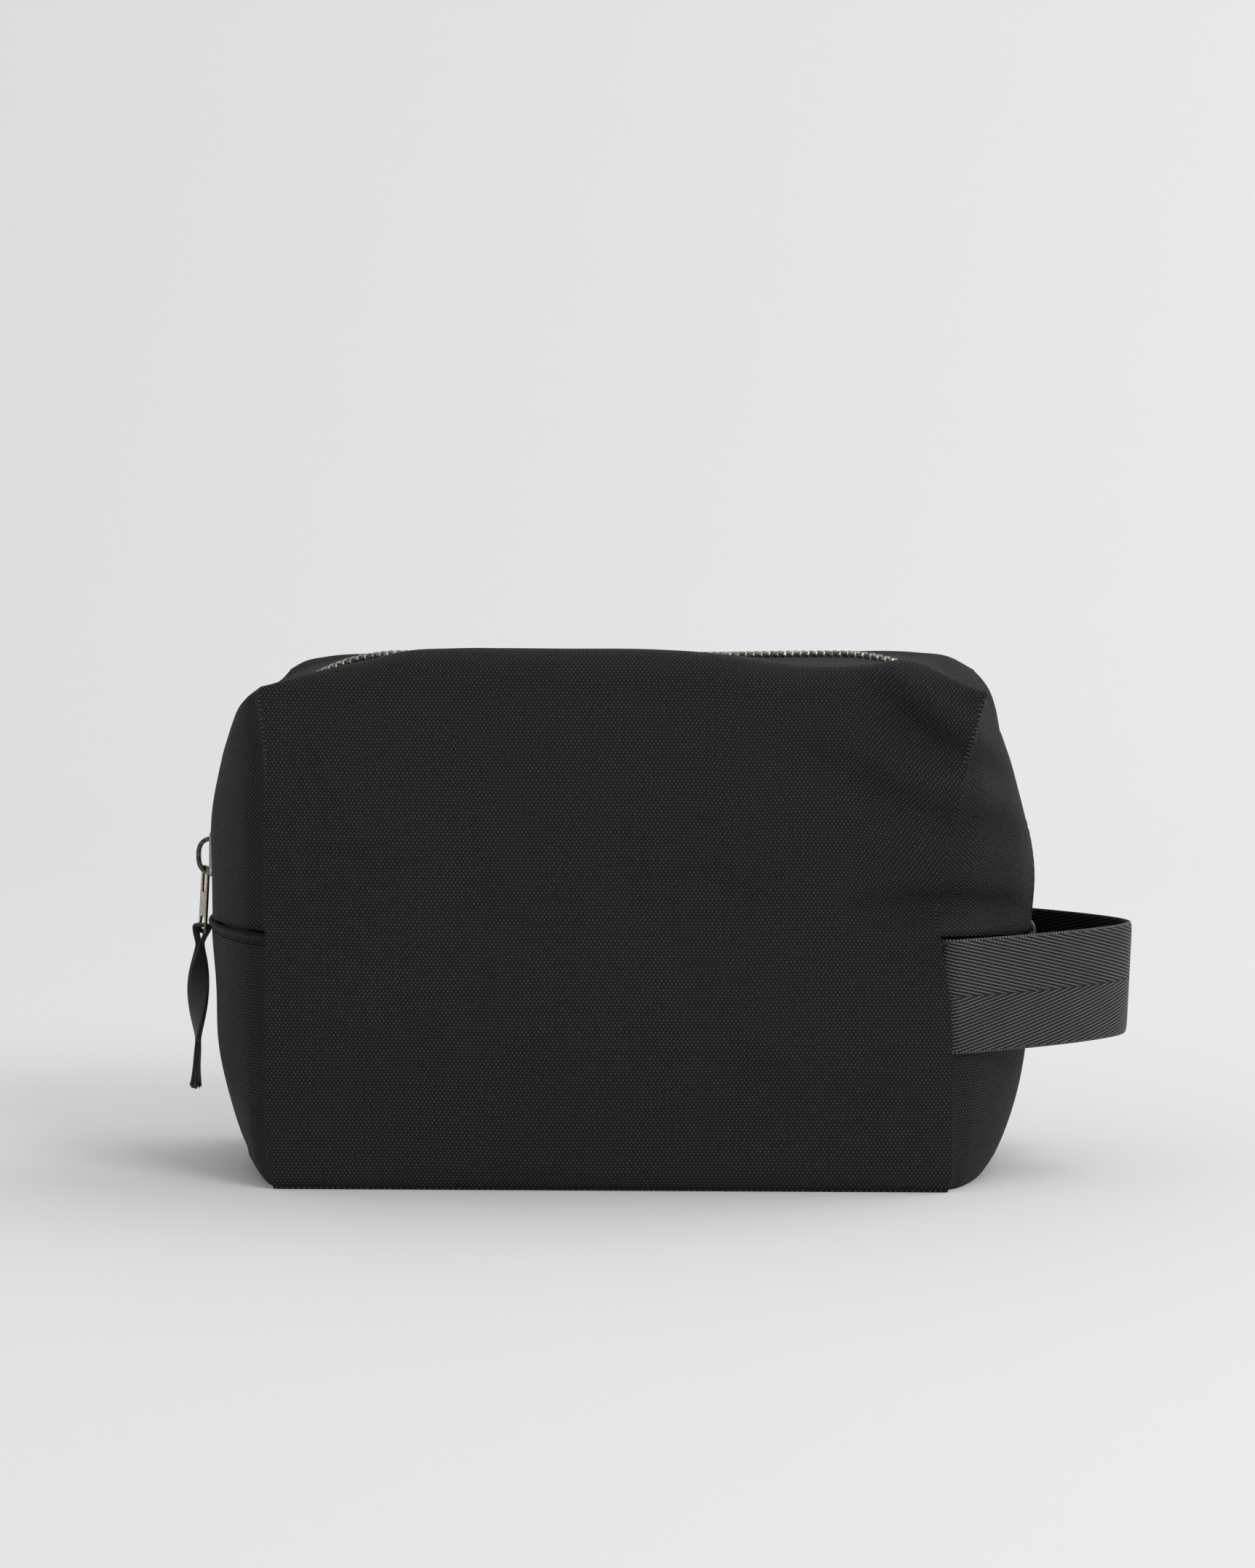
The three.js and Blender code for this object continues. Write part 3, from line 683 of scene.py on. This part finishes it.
SHELL = woven_shell("shell_weave")
LINING = smooth_cloth("lining_twill", 0.012, 0.03)
WEBBING = herringbone("webbing_herringbone")
# A much darker copy of the same webbing: painted shade for the loop's inner faces, which face the bag and
# away from the lamps.
WEBBING_PAINTED_SHADE = herringbone("webbing_herringbone_painted_shade", 0.002, 0.02)
TAPE = narrow_tape("zip_tape_weave", 0.012, 0.05)
BRASS = plated("antique_brass", (0.10, 0.09, 0.068, 1), (0.78, 0.75, 0.66, 1), 0.34)
GUNMETAL = plated("gunmetal_plate", (0.055, 0.053, 0.05, 1), (0.26, 0.255, 0.245, 1), 0.34)
SLIDER_METAL = plated("slider_grey", (0.30, 0.295, 0.285, 1), (0.62, 0.61, 0.59, 1), 0.36)
TAB_METAL = plated("worn_tab", (0.30, 0.29, 0.27, 1), (0.62, 0.60, 0.56, 1), 0.36)
RIBBON = narrow_tape("pull_ribbon", 0.008, 0.04, 0.7)
STUB = narrow_tape("zip_end_tape", 0.03, 0.12, 0.62)
TAB_EDGE = plated("brass_edge", (0.22, 0.165, 0.075, 1), (0.60, 0.49, 0.27, 1), 0.34)
THREAD = thread("black_thread")
BOARD = sheet_board("board_sheet")

# --- shell


def paint(piece, material):
    piece.data.materials.clear()
    piece.data.materials.append(material)
    return piece


def bend(piece):
    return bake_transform(piece)


def base_row(walls, end, z, columns, lip, inset):
    """One level of an end panel, from the front corner seam round to the back one."""
    e = np.sin(np.linspace(-1, 1, columns) * math.pi / 2 * 0.9) / math.sin(math.pi / 2 * 0.9)
    front, back = (wall_edge(walls[side], end, z) for side in ("front", "back"))
    edge = (front[0] * (1 - e) + back[0] * (1 + e)) / 2
    x = edge + (end * (end_x(z) - inset) - edge) * end_fullness(e) - end * lip
    y = (front[1] * (1 - e) + back[1] * (1 + e)) / 2
    return np.stack([x, y, z + seam_arch(end, e) * smooth(z, 52, SEAM_Z)], axis=1)


def base_grid(walls, columns=44, inset=0.0, floor=0.05):
    """The lower ends and the bottom as one strip, from the left end seam under to the right one."""
    heights = [SEAM_Z, SEAM_Z - 0.6, SEAM_Z - 1.3]
    heights += [*np.linspace(SEAM_Z - 3, 3 + floor, 28), 1.6 + floor, 0.6 + floor]
    lips = [0.5 * (1 - smooth(SEAM_Z - z, 0, 1.5)) for z in heights]
    left = [base_row(walls, -1, z, columns, lip, inset) for z, lip in zip(heights, lips)]
    right = [base_row(walls, 1, z, columns, lip, inset) for z, lip in zip(heights[::-1], lips[::-1])]
    low_left, low_right = left[-1], right[0]
    under = []
    for t in np.linspace(0.003, 0.997, 30):
        row = low_left + (low_right - low_left) * t
        row[:, 2] = floor
        under.append(row)
    return np.array(left + under + right)


walls, ribbons = {}, {}
for side, sign in SIDES.items():
    walls[side], ribbons[side] = half_shell(side)
    shell = joined(f"{side}_shell", [walls[side], ribbons[side]],
                   [flat_cloth(walls[side]), cloth_of(ribbons[side])], [sign > 0, sign < 0],
                   corner_seams(walls[side], ribbons[side]))
    thicken(shell, FABRIC)
    paint(shell, SHELL)
    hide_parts(f"{side}_wall_lower", f"{side}_fold", f"{side}_wall_upper", f"{side}_top_panel",
                f"{side}_left_gusset", f"{side}_right_gusset")
    bend(shell)

base = base_grid(walls)
fade = edge_fade(*base.shape[:2], share=0.15)
fade[base[..., 2] < 6] = 0
base = roughen(base, 2.6, 34, 12.5, fade)
base_shell = joined("base_shell", [base], [cloth_of(base, swap=True)], [False])
thicken(base_shell, FABRIC)
paint(base_shell, SHELL)
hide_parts("bottom_panel", "left_end_lower", "right_end_lower", "left_zip_corner",
            "right_zip_corner")
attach(base_shell, "bag_base")

# --- swept strips


def sweep(name, path, across, up, outline):
    """Carries a closed outline along a path; cloth coordinates are distance along and across it."""
    path, outline = np.asarray(path, float), np.asarray(outline, float)
    grid = (path[:, None] + across[:, None] * outline[..., 0, None] + up[:, None] * outline[..., 1, None])
    rows, columns = grid.shape[:2]
    faces = grid_faces(rows, columns, wrap=True) + end_caps(rows, columns)
    length = np.concatenate([[0], np.cumsum(np.linalg.norm(np.diff(path, axis=0), axis=1))])
    cloth = np.zeros(grid.shape)
    cloth[..., 0] = length[:, None]
    cloth[..., 1] = outline[..., 0]
    return face_outwards(add_mesh(name, grid.reshape(-1, 3), faces, cloth.reshape(-1, 3)))


def strap_outline(width, thick, columns):
    """A flat strap's section, rounded at its selvedges: (across, up) round one loop."""
    v = np.sin(np.linspace(-1, 1, columns) * math.pi / 2)
    half = thick / 2 * np.clip(1 - np.abs(v) ** 14, 0, 1) ** 0.5
    top = np.stack([v * width / 2, half], axis=1)
    bottom = np.stack([v * width / 2, -half], axis=1)[::-1][1:-1]
    return np.concatenate([top, bottom])


def round_outline(radius, count):
    a = np.linspace(0, 2 * math.pi, count, endpoint=False)
    return np.stack([radius * np.cos(a), radius * np.sin(a)], axis=1)


def unit(v):
    return v / np.maximum(np.linalg.norm(v, axis=-1, keepdims=True), 1e-9)


def many(name, template, faces, frames):
    """Copies a small template to many places; frames are (origin, three axes)."""
    points, all_faces = [], []
    for i, (origin, axes) in enumerate(frames):
        points.append(np.asarray(origin) + template @ np.asarray(axes))
        all_faces += [tuple(v + i * len(template) for v in face) for face in faces]
    return face_outwards(add_mesh(name, np.concatenate(points), all_faces))


def tube_template(profile, count=6):
    """A small closed spindle along its first axis: (distance, radius) pairs."""
    points = []
    for x, r in profile:
        for k in range(count):
            a = 2 * math.pi * k / count
            points.append((x, r * math.cos(a), r * math.sin(a)))
    return np.array(points), grid_faces(len(profile), count, wrap=True) + end_caps(len(profile), count)


def point_at(s, length, values):
    """The value of each column at distance s."""
    return np.array([np.interp(s, length, column) for column in values.T])


STITCH = tube_template([(-1.15, 0.10), (-0.95, 0.20), (-0.5, 0.26), (0.5, 0.26), (0.95, 0.20), (1.15, 0.10)])


def stitches(name, line, normals, pitch=3.0, sink=0.05):
    """A row of lockstitches along a line that lies on the cloth."""
    gaps = np.linalg.norm(np.diff(line, axis=0), axis=1)
    length = np.concatenate([[0], np.cumsum(gaps)])
    at = np.arange(pitch / 2, length[-1], pitch)
    frames = []
    for s in at:
        p, q = point_at(s, length, line), point_at(min(s + 0.4, length[-1]), length, line)
        n = unit(point_at(s, length, normals))
        along = unit(q - p + 1e-6)
        frames.append((p - n * sink, (along, np.cross(n, along), n)))
    piece = many(name, STITCH[0], STITCH[1], frames)
    return paint(piece, THREAD)


# --- end seams, hems and topstitching

for end, label in ((-1, "left"), (1, "right")):
    rows = range(3) if end < 0 else range(len(base) - 1, len(base) - 4, -1)
    line = base[rows[1]].copy()
    line[:, 0] += end * 0.45
    line[:, 2] -= 0.2
    line = line[1:-1]
    along = unit(np.gradient(line, axis=0))
    lift = np.tile([0.0, 0, 1.0], (len(line), 1))
    hem = sweep(f"{label}_end_hem", line, unit(np.cross(along, lift)), lift, round_outline(HEM, 12))
    paint(hem, SHELL)
    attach(hem, "bag_base")
    row = 3 if end < 0 else len(base) - 4
    stitch_line = base[row][2:-2].copy()
    normals = np.tile([float(end), 0, 0], (len(stitch_line), 1)) + np.stack(
        [np.zeros(len(stitch_line)), stitch_line[:, 1] / 60, np.zeros(len(stitch_line))], axis=1)
    stitch_row = stitches(f"{label}_end_stitching", stitch_line, unit(normals))
    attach(stitch_row, "bag_base")

for side, sign in SIDES.items():
    ribbon = ribbons[side]
    normals = grid_normals(ribbon)
    centre = ribbon.mean(axis=(0, 1))
    if np.mean(np.sum(normals * (ribbon - centre), axis=2)) < 0:
        normals = -normals
    rows = slice(3, -3)
    line = (ribbon[rows, -2] * 0.75 + ribbon[rows, -3] * 0.25)
    row = stitches(f"{side}_topstitching", line, normals[rows, -2])
    bend(row)

# --- zip


def teeth_drop(s):
    """How deep the teeth sit below the zip's line: deeper down the ends than over the top."""
    return TEETH_DROP + 0.7 * smooth(np.abs(np.asarray(s) - TRACK / 2), 120, 165)


def chain(name, side, s, y, template, faces):
    """Copies a template along one side of the zip, at distances s."""
    x, z, nx, nz = track(s)
    drop = teeth_drop(s)
    sign = SIDES[side]
    frames = []
    for i in range(len(s)):
        normal = np.array([nx[i], 0, nz[i]])
        along = np.array([nz[i], 0, -nx[i]])
        origin = np.array([x[i], sign * y, z[i]]) - normal * drop[i]
        frames.append((origin, (along, np.array([0, sign, 0.0]), normal)))
    return many(name, template, faces, frames)


def tooth():
    """One cast tooth: a leg clamped on the tape's cord, and a domed head that reaches past the middle."""
    stations = [(-1.05, 0.42, 0.55), (-0.8, 0.55, 0.8), (0.2, 0.56, 0.92), (0.75, 0.60, 0.98),
                (1.1, 0.78, 1.05), (2.6, 0.80, 1.05), (2.85, 0.66, 0.85)]
    cut = 0.72
    corners = [(-1, -cut), (-1, cut), (-cut, 1), (cut, 1), (1, cut), (1, -cut), (cut, -1), (-cut, -1)]
    points = [(cx * half, y, cz * thick) for y, half, thick in stations for cx, cz in corners]
    rows, columns = len(stations), len(corners)
    return np.array(points), grid_faces(rows, columns, wrap=True) + end_caps(rows, columns)


TOOTH = tooth()
ZIP_FROM, ZIP_TO = 16.5, TRACK - 10.5
TAPE_WIDTH = 7.6
TAPE_THICK = 0.7
BEAD_RADIUS = 0.7
TOP_STOP_S = 10.2
BOTTOM_STOP_S = TRACK - 7.7
for side, sign in SIDES.items():
    first = ZIP_FROM + (0.5 * TOOTH_PITCH if side == "back" else 0)
    s = np.arange(first, ZIP_TO, TOOTH_PITCH)
    teeth = chain(f"{side}_teeth", side, s, 0, *TOOTH)
    paint(teeth, BRASS)
    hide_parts(f"{side}_zip_teeth")
    bend(teeth)

    s = np.linspace(0.2, TRACK - 0.2, 190)
    x, z, nx, nz = track(s)
    drop = teeth_drop(s)[:, None]
    normal = np.stack([nx, 0 * nx, nz], axis=1)
    meet = np.maximum(1 - smooth(s, 6, 16), smooth(s, TRACK - 12, TRACK - 4))
    lean = ((lip_fall(side, x) + 0.3) / 4.4 * smooth(s, 12, 40) * smooth(TRACK - s, 12, 40))[:, None]
    across = np.tile([0, float(sign), 0], (len(s), 1))
    leaning = unit(across - normal * lean)
    path = np.stack([x, sign * (1.8 - 1.75 * meet), z], axis=1)
    path = path - normal * (drop + 0.25) + TAPE_WIDTH / 2 * leaning
    tape = sweep(f"{side}_zip_tape_cloth", path, leaning, unit(normal + across * lean),
                 strap_outline(TAPE_WIDTH, TAPE_THICK, 10))
    paint(tape, TAPE)
    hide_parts(f"{side}_zip_tape")
    bend(tape)
    path = np.stack([x, np.full(len(s), sign * 2.05), z], axis=1) - normal * drop
    bead = sweep(f"{side}_zip_bead", path[8:-4], across[8:-4], normal[8:-4], round_outline(BEAD_RADIUS, 8))
    paint(bead, TAPE)
    bend(bead)

    stop = chain(f"{side}_top_stop_clamp", side, np.array([TOP_STOP_S]), 2.2,
                 TOOTH[0] * (2.0, 0.9, 1.1) - (0, 1.4, 0), TOOTH[1])
    paint(stop, BRASS)
    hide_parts(f"{side}_top_stop")
    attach(stop, "bag_base")

clamp = chain("bottom_stop_clamp", "back", np.array([BOTTOM_STOP_S]), 0,
              TOOTH[0] * (2.0, 1.45, 1.1) - (0, 1.3, 0), TOOTH[1])
paint(clamp, BRASS)
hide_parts("bottom_stop")
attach(clamp, "bag_base")

# The zip's folded tape end shows past the seam at the right end
drop_to = np.linspace(0, 1, 12)
stub_x = END_X - 1.4 + 1.2 * np.sin(drop_to * math.pi) ** 0.7
path = np.stack([stub_x, 0 * drop_to, SEAM_Z - 0.4 - 4.4 * drop_to], axis=1)
along = unit(np.gradient(path, axis=0))
across = np.tile([0, 1.0, 0], (12, 1))
stub = sweep("zip_tape_end", path, across, unit(np.cross(along, across)), strap_outline(7.5, 1.1, 10))
paint(stub, STUB)
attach(stub, "bag_base")

# --- slider and puller


def plate(name, outline, holes, thick, bevel, at, turn=0.0, lean=0.0):
    """A flat pressing in the y-z plane with rounded edges; outline and holes are (y, z) points."""
    curve = bpy.data.curves.new(name, "CURVE")
    curve.dimensions, curve.fill_mode = "2D", "BOTH"
    curve.extrude = (thick / 2 - bevel) * MM
    curve.bevel_depth, curve.bevel_resolution = bevel * MM, 3
    curve.offset = -bevel * MM
    for ring in [outline, *holes]:
        spline = curve.splines.new("POLY")
        spline.points.add(len(ring) - 1)
        for point, (y, z) in zip(spline.points, ring):
            point.co = (y * MM, z * MM, 0, 1)
        spline.use_cyclic_u = True
    shape = bpy.data.objects.new(name + "_outline", curve)
    bpy.context.scene.collection.objects.link(shape)
    mesh = bpy.data.meshes.new_from_object(shape.evaluated_get(bpy.context.evaluated_depsgraph_get()))
    bpy.data.objects.remove(shape)
    count = len(mesh.vertices)
    flat = np.zeros(count * 3)
    mesh.vertices.foreach_get("co", flat)
    flat = flat.reshape(-1, 3)
    points = np.stack([flat[:, 2], flat[:, 0], flat[:, 1]], axis=1)
    c, s = math.cos(turn), math.sin(turn)
    points = points @ np.array([[c, s, 0], [-s, c, 0], [0, 0, 1]])
    c, s = math.cos(lean), math.sin(lean)
    points = points @ np.array([[c, 0, s], [0, 1, 0], [-s, 0, c]])
    points += np.array(at) * MM
    mesh.vertices.foreach_set("co", points.ravel())
    mesh.polygons.foreach_set("use_smooth", [True] * len(mesh.polygons))
    mesh.set_sharp_from_angle(angle=math.radians(40))
    mesh.name = name
    piece = bpy.data.objects.new(name, mesh)
    bpy.context.scene.collection.objects.link(piece)
    return piece


def rounded(width, low, high, radius, narrow=1.0, count=6):
    """A rounded rectangle about y = 0, as (y, z) points; narrow scales its top width."""
    points = []
    for cy, cz, start in ((1, 1, 0), (-1, 1, 90), (-1, -1, 180), (1, -1, 270)):
        half = width / 2 * (narrow if cz > 0 else 1)
        for k in range(count):
            a = math.radians(start + 90 * k / (count - 1))
            y = cy * (half - radius) + radius * math.cos(a)
            z = (high - radius if cz > 0 else low + radius) + radius * math.sin(a)
            points.append((y, z))
    return points


slider_low, slider_high = span("slider_body")
mid = (slider_low + slider_high) / 2
half_length = (slider_high[2] - slider_low[2]) / 2
shield = [(0, 7), (1.6, 6.9), (3.0, 6.2), (3.7, 4.6), (4.2, 0.5), (4.6, -3.2), (4.6, -5.0), (4.1, -6.2),
          (3.0, -7), (1.8, -6.9), (0.9, -6.2), (0, -5.9)]
shield = [(y, z / 7 * half_length) for y, z in shield]
shield = shield + [(-y, z) for y, z in shield[-2:0:-1]]
plates = []
for label, x in (("outer", slider_low[0] + 0.62), ("inner", slider_high[0] - 0.62)):
    part = plate(f"slider_{label}_plate", shield, [], 1.15, 0.35, (x, 0, mid[2]))
    plates.append(part)
bar = plate("slider_wedge", rounded(2.2, -6.4, -2.2, 0.7, 0.6), [], 3.4, 0.1, (mid[0], 0, mid[2]))
plates.append(bar)
FLANGE = [(3.4, 5.2), (3.85, 4.6), (4.35, 0.5), (4.75, -3.2), (4.75, -5.0), (4.2, -5.6), (3.8, -5.0),
          (3.8, -3.2), (3.4, 0.5), (2.9, 4.6)]
for sign in (-1, 1):
    edge = [(sign * y, z) for y, z in FLANGE]
    for label, x in (("outer", slider_low[0] + 1.2), ("inner", slider_high[0] - 1.2)):
        side_name = "front" if sign < 0 else "back"
        plates.append(plate(f"slider_{label}_{side_name}_flange", edge, [], 0.95, 0.15, (x, 0, mid[2])))
for part in plates:
    paint(part, SLIDER_METAL)
    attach(part, "slider")
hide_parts("slider_body")

crown_low, crown_high = span("slider_crown")
reach = crown_high[0] - crown_low[0] + 0.5
middle = (crown_low[2] + crown_high[2]) / 2 - 0.8
half = (crown_high[2] - crown_low[2]) / 2 - 0.35
a = np.linspace(-math.pi / 2 - 0.5, math.pi / 2 + 0.5, 40)
bow = np.stack([np.full(40, crown_high[0] + 0.2) - (reach - 0.4) * np.clip(np.cos(a), -0.25, 1) ** 1.0,
                np.zeros(40), middle + half * np.sign(np.sin(a)) * np.abs(np.sin(a)) ** 0.8], axis=1)
along = unit(np.gradient(bow, axis=0))
side_axis = np.tile([0, 1.0, 0], (40, 1))
outline = np.array(rounded(2.9, -0.7, 0.7, 0.5))
crown = sweep("slider_bow", bow, side_axis, np.cross(along, side_axis), outline)
paint(crown, GUNMETAL)
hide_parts("slider_crown")
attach(crown, "slider")

tab_low, tab_high = span("pull_tab")
TAB_X = (tab_low[0] + tab_high[0]) / 2
TAB_TOP, TAB_BOTTOM = tab_high[2], tab_low[2]
tab_length = TAB_TOP - TAB_BOTTOM
tab = plate("zip_pull_tab", rounded(6.9, -tab_length, 0, 1.5, 0.9), [
    rounded(3.3, -8.3, -1.5, 0.9, 1.0), rounded(5.0, -tab_length + 1.5, -tab_length + 5.4, 1.2, 0.8)],
    0.9, 0.22, (TAB_X + 0.4, 0, TAB_TOP - 1.2), turn=math.radians(23), lean=math.radians(-3.4))
paint(tab, TAB_METAL)
tab.data.materials.append(TAB_EDGE)
for face in tab.data.polygons:
    face.material_index = 0 if abs(face.normal.x) > 0.8 else 1
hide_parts("pull_tab")
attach(tab, "pull_tab")

# --- pull tape


def pull_tape():
    """One ribbon doubled through the tab's eye, its two plies lying together and turning as they hang."""
    bar = TAB_BOTTOM - 0.4
    tail = 24.0
    z_down = np.concatenate([np.linspace(bar + 2.0, bar - 5, 22), np.linspace(bar - 6, tail, 64)])
    centre_x = through([(tail, -133.4), (30, -133.1), (37, -132.7), (46, -132.7), (55.5, -132.5),
                        (63, -132.1), (69, -131.8), (74, -131.1), (77, -130.9)], z_down)
    centre_y = through([(tail, -0.8), (37, 0.3), (55.5, 0.4), (69, 0), (77, 0)], z_down)
    turn = through([(tail, 3.40), (29, 3.28), (37, 3.10), (46, 2.35), (55.5, 1.57), (63, 0.75), (69, 0.2),
                    (74, 0.3), (77, 0.3)], z_down)
    gap = through([(tail, 0.75), (27, 0.5), (37, 0.42), (55.5, 0.46), (66, 0.46), (69, 0.55), (70.5, 1.1),
                   (72.3, 1.75), (74, 2.05), (75, 1.85), (75.8, 1.1), (76.2, 0.0)], z_down)
    width = through([(tail, 5.2), (30, 5.2), (37, 5.4), (46, 6.4), (55.5, 6.8), (63, 5.9), (69, 4.8),
                     (77, 4.9)], z_down)
    across = np.stack([np.sin(turn), np.cos(turn), 0 * turn], axis=1)
    out = np.stack([-np.cos(turn), np.sin(turn), 0 * turn], axis=1)
    centre = np.stack([centre_x, centre_y, z_down], axis=1)
    outer, inner = centre + out * gap[:, None], centre - out * gap[:, None]
    path = np.concatenate([outer[::-1], inner[1:]])
    across = np.concatenate([across[::-1], across[1:]])
    width = np.concatenate([width[::-1], width[1:]])
    along = unit(np.gradient(path, axis=0))
    up = unit(np.cross(along, across))
    across = unit(np.cross(up, along))
    base_outline = strap_outline(1.0, 0.85, 14)
    outline = np.tile(base_outline, (len(path), 1, 1))
    outline[:, :, 0] *= width[:, None]
    cup = 0.2 * hump(path[:, 2], 48, 12)
    outline[:, :, 1] += cup[:, None] * (1 - (2 * base_outline[:, 0]) ** 2)[None, :]
    piece = sweep("pull_tape_ribbon", path, across, up, outline)
    # The cut ends are a little ragged
    for vertex in piece.data.vertices:
        z = vertex.co.z / MM
        if z < tail + 0.6:
            v = vertex.co.x * 900 + vertex.co.y * 1400
            vertex.co.z += (0.9 * math.sin(v * 2.1) + 0.5 * math.sin(v * 5.3)) * MM
    return piece


ribbon_tape = pull_tape()
paint(ribbon_tape, RIBBON)
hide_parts("pull_tape")
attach(ribbon_tape, "pull_tape")

# --- webbing loop

web_low, web_high = span("handle_loop")
WEB_WIDTH = web_high[2] - web_low[2]
WEB_THICK = 1.7
WEB_ROOT_X = 104
WEB_Z = (web_low[2] + web_high[2]) / 2
t = np.sin(np.linspace(-1, 1, 140) * math.pi / 2 * 0.75) / math.sin(math.pi / 2 * 0.75)
plan_x = web_high[0] - 0.9 - 54 * np.abs(t) ** 1.53
soften = 0.4 * hump(t, 0, 0.08)
path = np.stack([plan_x - soften, 53.4 * t, np.full(len(t), WEB_Z)], axis=1)
tails = np.array([[-4.6, 0.15, 0], [-3.0, 0.1, 0], [-1.5, 0.05, 0]])
path = np.concatenate([path[0] + tails, path, (path[-1] + tails * (1, -1, 1))[::-1]])
t = np.concatenate([[-1, -1, -1], t, [1, 1, 1]])
along = unit(np.gradient(path, axis=0))
across = np.tile([0, 0, -1.0], (len(t), 1))
tilt = 0.045 * hump(t, 0, 0.6)[:, None]
across = unit(across + np.array([-1.0, 0, 0]) * tilt)
up = unit(np.cross(along, across))
strap = sweep("webbing_loop", path, across, up, strap_outline(WEB_WIDTH, WEB_THICK, 30))
paint(strap, WEBBING)
# Faces on the inside of the loop get the darker copy of the webbing as painted shade; the outer faces keep
# the plain webbing.
strap.data.materials.append(WEBBING_PAINTED_SHADE)
for face in strap.data.polygons:
    outward = face.normal.x * (face.center.x / MM - WEB_ROOT_X) + face.normal.y * face.center.y / MM
    face.material_index = 1 if outward < -1 else 0
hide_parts("handle_loop", "handle_front_tail", "handle_back_tail")
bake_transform(strap)

# --- lining and board

LINING_INSET = 3.2
LINING_FLOOR = 4.8
LINING_THICK = 0.4
LINING_DROP = 3.4
LINING_SLOT = 8.6
lining_walls = {}
for side, sign in SIDES.items():
    normals = grid_normals(walls[side])
    outward = normals * np.sign(normals[30, 40, 1] * sign)
    wall = walls[side] - outward * LINING_INSET
    wall[..., 0] -= np.sign(wall[..., 0]) * LINING_INSET * smooth(np.abs(wall[..., 0]), 84, 104)
    wall[..., 2] += LINING_FLOOR * (1 - smooth(wall[..., 2], 0, 45))
    lining_walls[side] = wall
    ribbon = softened(ribbon_grid(side, wall, drop=EDGE_DROP + LINING_DROP, slot=LINING_SLOT), side)
    inner = joined(f"{side}_lining", [wall, ribbon], [flat_cloth(wall), cloth_of(ribbon)],
                   [sign > 0, sign < 0], corner_seams(wall, ribbon))
    thicken(inner, LINING_THICK)
    paint(inner, LINING)
    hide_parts(f"{side}_lining_upper")
    bend(inner)
inner_base = base_grid(lining_walls, inset=LINING_INSET, floor=5.0)
lining = joined("base_lining", [inner_base], [cloth_of(inner_base, swap=True)], [False])
thicken(lining, LINING_THICK)
paint(lining, LINING)
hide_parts("lining_lower")
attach(lining, "bag_base")

# --- stage, light and camera


def stage():
    """A pale floor that sweeps up into a backdrop."""
    profile = [(-4.0, 0.0), (0.9, 0.0)]
    for k in range(1, 13):
        turn = math.pi / 2 * k / 12
        profile.append((0.9 + 0.9 * math.sin(turn), 0.9 - 0.9 * math.cos(turn)))
    profile.append((1.8, 5.0))
    points = [(x, y, z) for y, z in profile for x in (-5.0, 5.0)]
    floor = add_mesh("floor", np.array(points) / MM, grid_faces(len(profile), 2, flip=True))
    floor.data.materials.append(backdrop("pale_backdrop"))
    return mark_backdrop(floor)


def softbox(name, place, target, size, power):
    """A rectangular area light that faces its target."""
    light = bpy.data.lights.new(name, "AREA")
    light.shape = "RECTANGLE"
    light.size, light.size_y = size
    light.energy = power
    lamp = bpy.data.objects.new(name, light)
    bpy.context.scene.collection.objects.link(lamp)
    lamp.location = place
    lamp.rotation_euler = (Vector(target) - Vector(place)).to_track_quat("-Z", "Y").to_euler()


def camera():
    """Looks at the front from a little above and to the right."""
    distance, elevation, azimuth = 1.943, math.radians(5.1), math.radians(2.0)
    target = Vector((0.0016, 0, 0.119))
    away = Vector((math.sin(azimuth) * math.cos(elevation), -math.cos(azimuth) * math.cos(elevation),
                   math.sin(elevation)))
    lens = bpy.data.cameras.new("camera")
    lens.lens = 143.6
    lens.clip_end = 50
    view = bpy.data.objects.new("camera", lens)
    bpy.context.scene.collection.objects.link(view)
    view.location = target + away * distance
    view.rotation_euler = (-away).to_track_quat("-Z", "Y").to_euler()
    bpy.context.scene.camera = view


stage()
world = bpy.data.worlds.new("studio")
world.use_nodes = True
world.node_tree.nodes["Background"].inputs[0].default_value = (1, 1, 1, 1)
world.node_tree.nodes["Background"].inputs[1].default_value = 0.585
bpy.context.scene.world = world
bpy.context.scene.view_settings.view_transform = "Standard"
softbox("key_light", (1.5, 0.7, 2.0), (0, 0, 0.05), (1.9, 1.9), 18)
softbox("front_light", (1.7, -2.1, 2.0), (0, 0, 0.1), (1.2, 1.2), 33)
camera()

for node in frame["nodes"].values():
    if not node.hide_render:
        node.data.materials.clear()
        node.data.materials.append(BOARD)
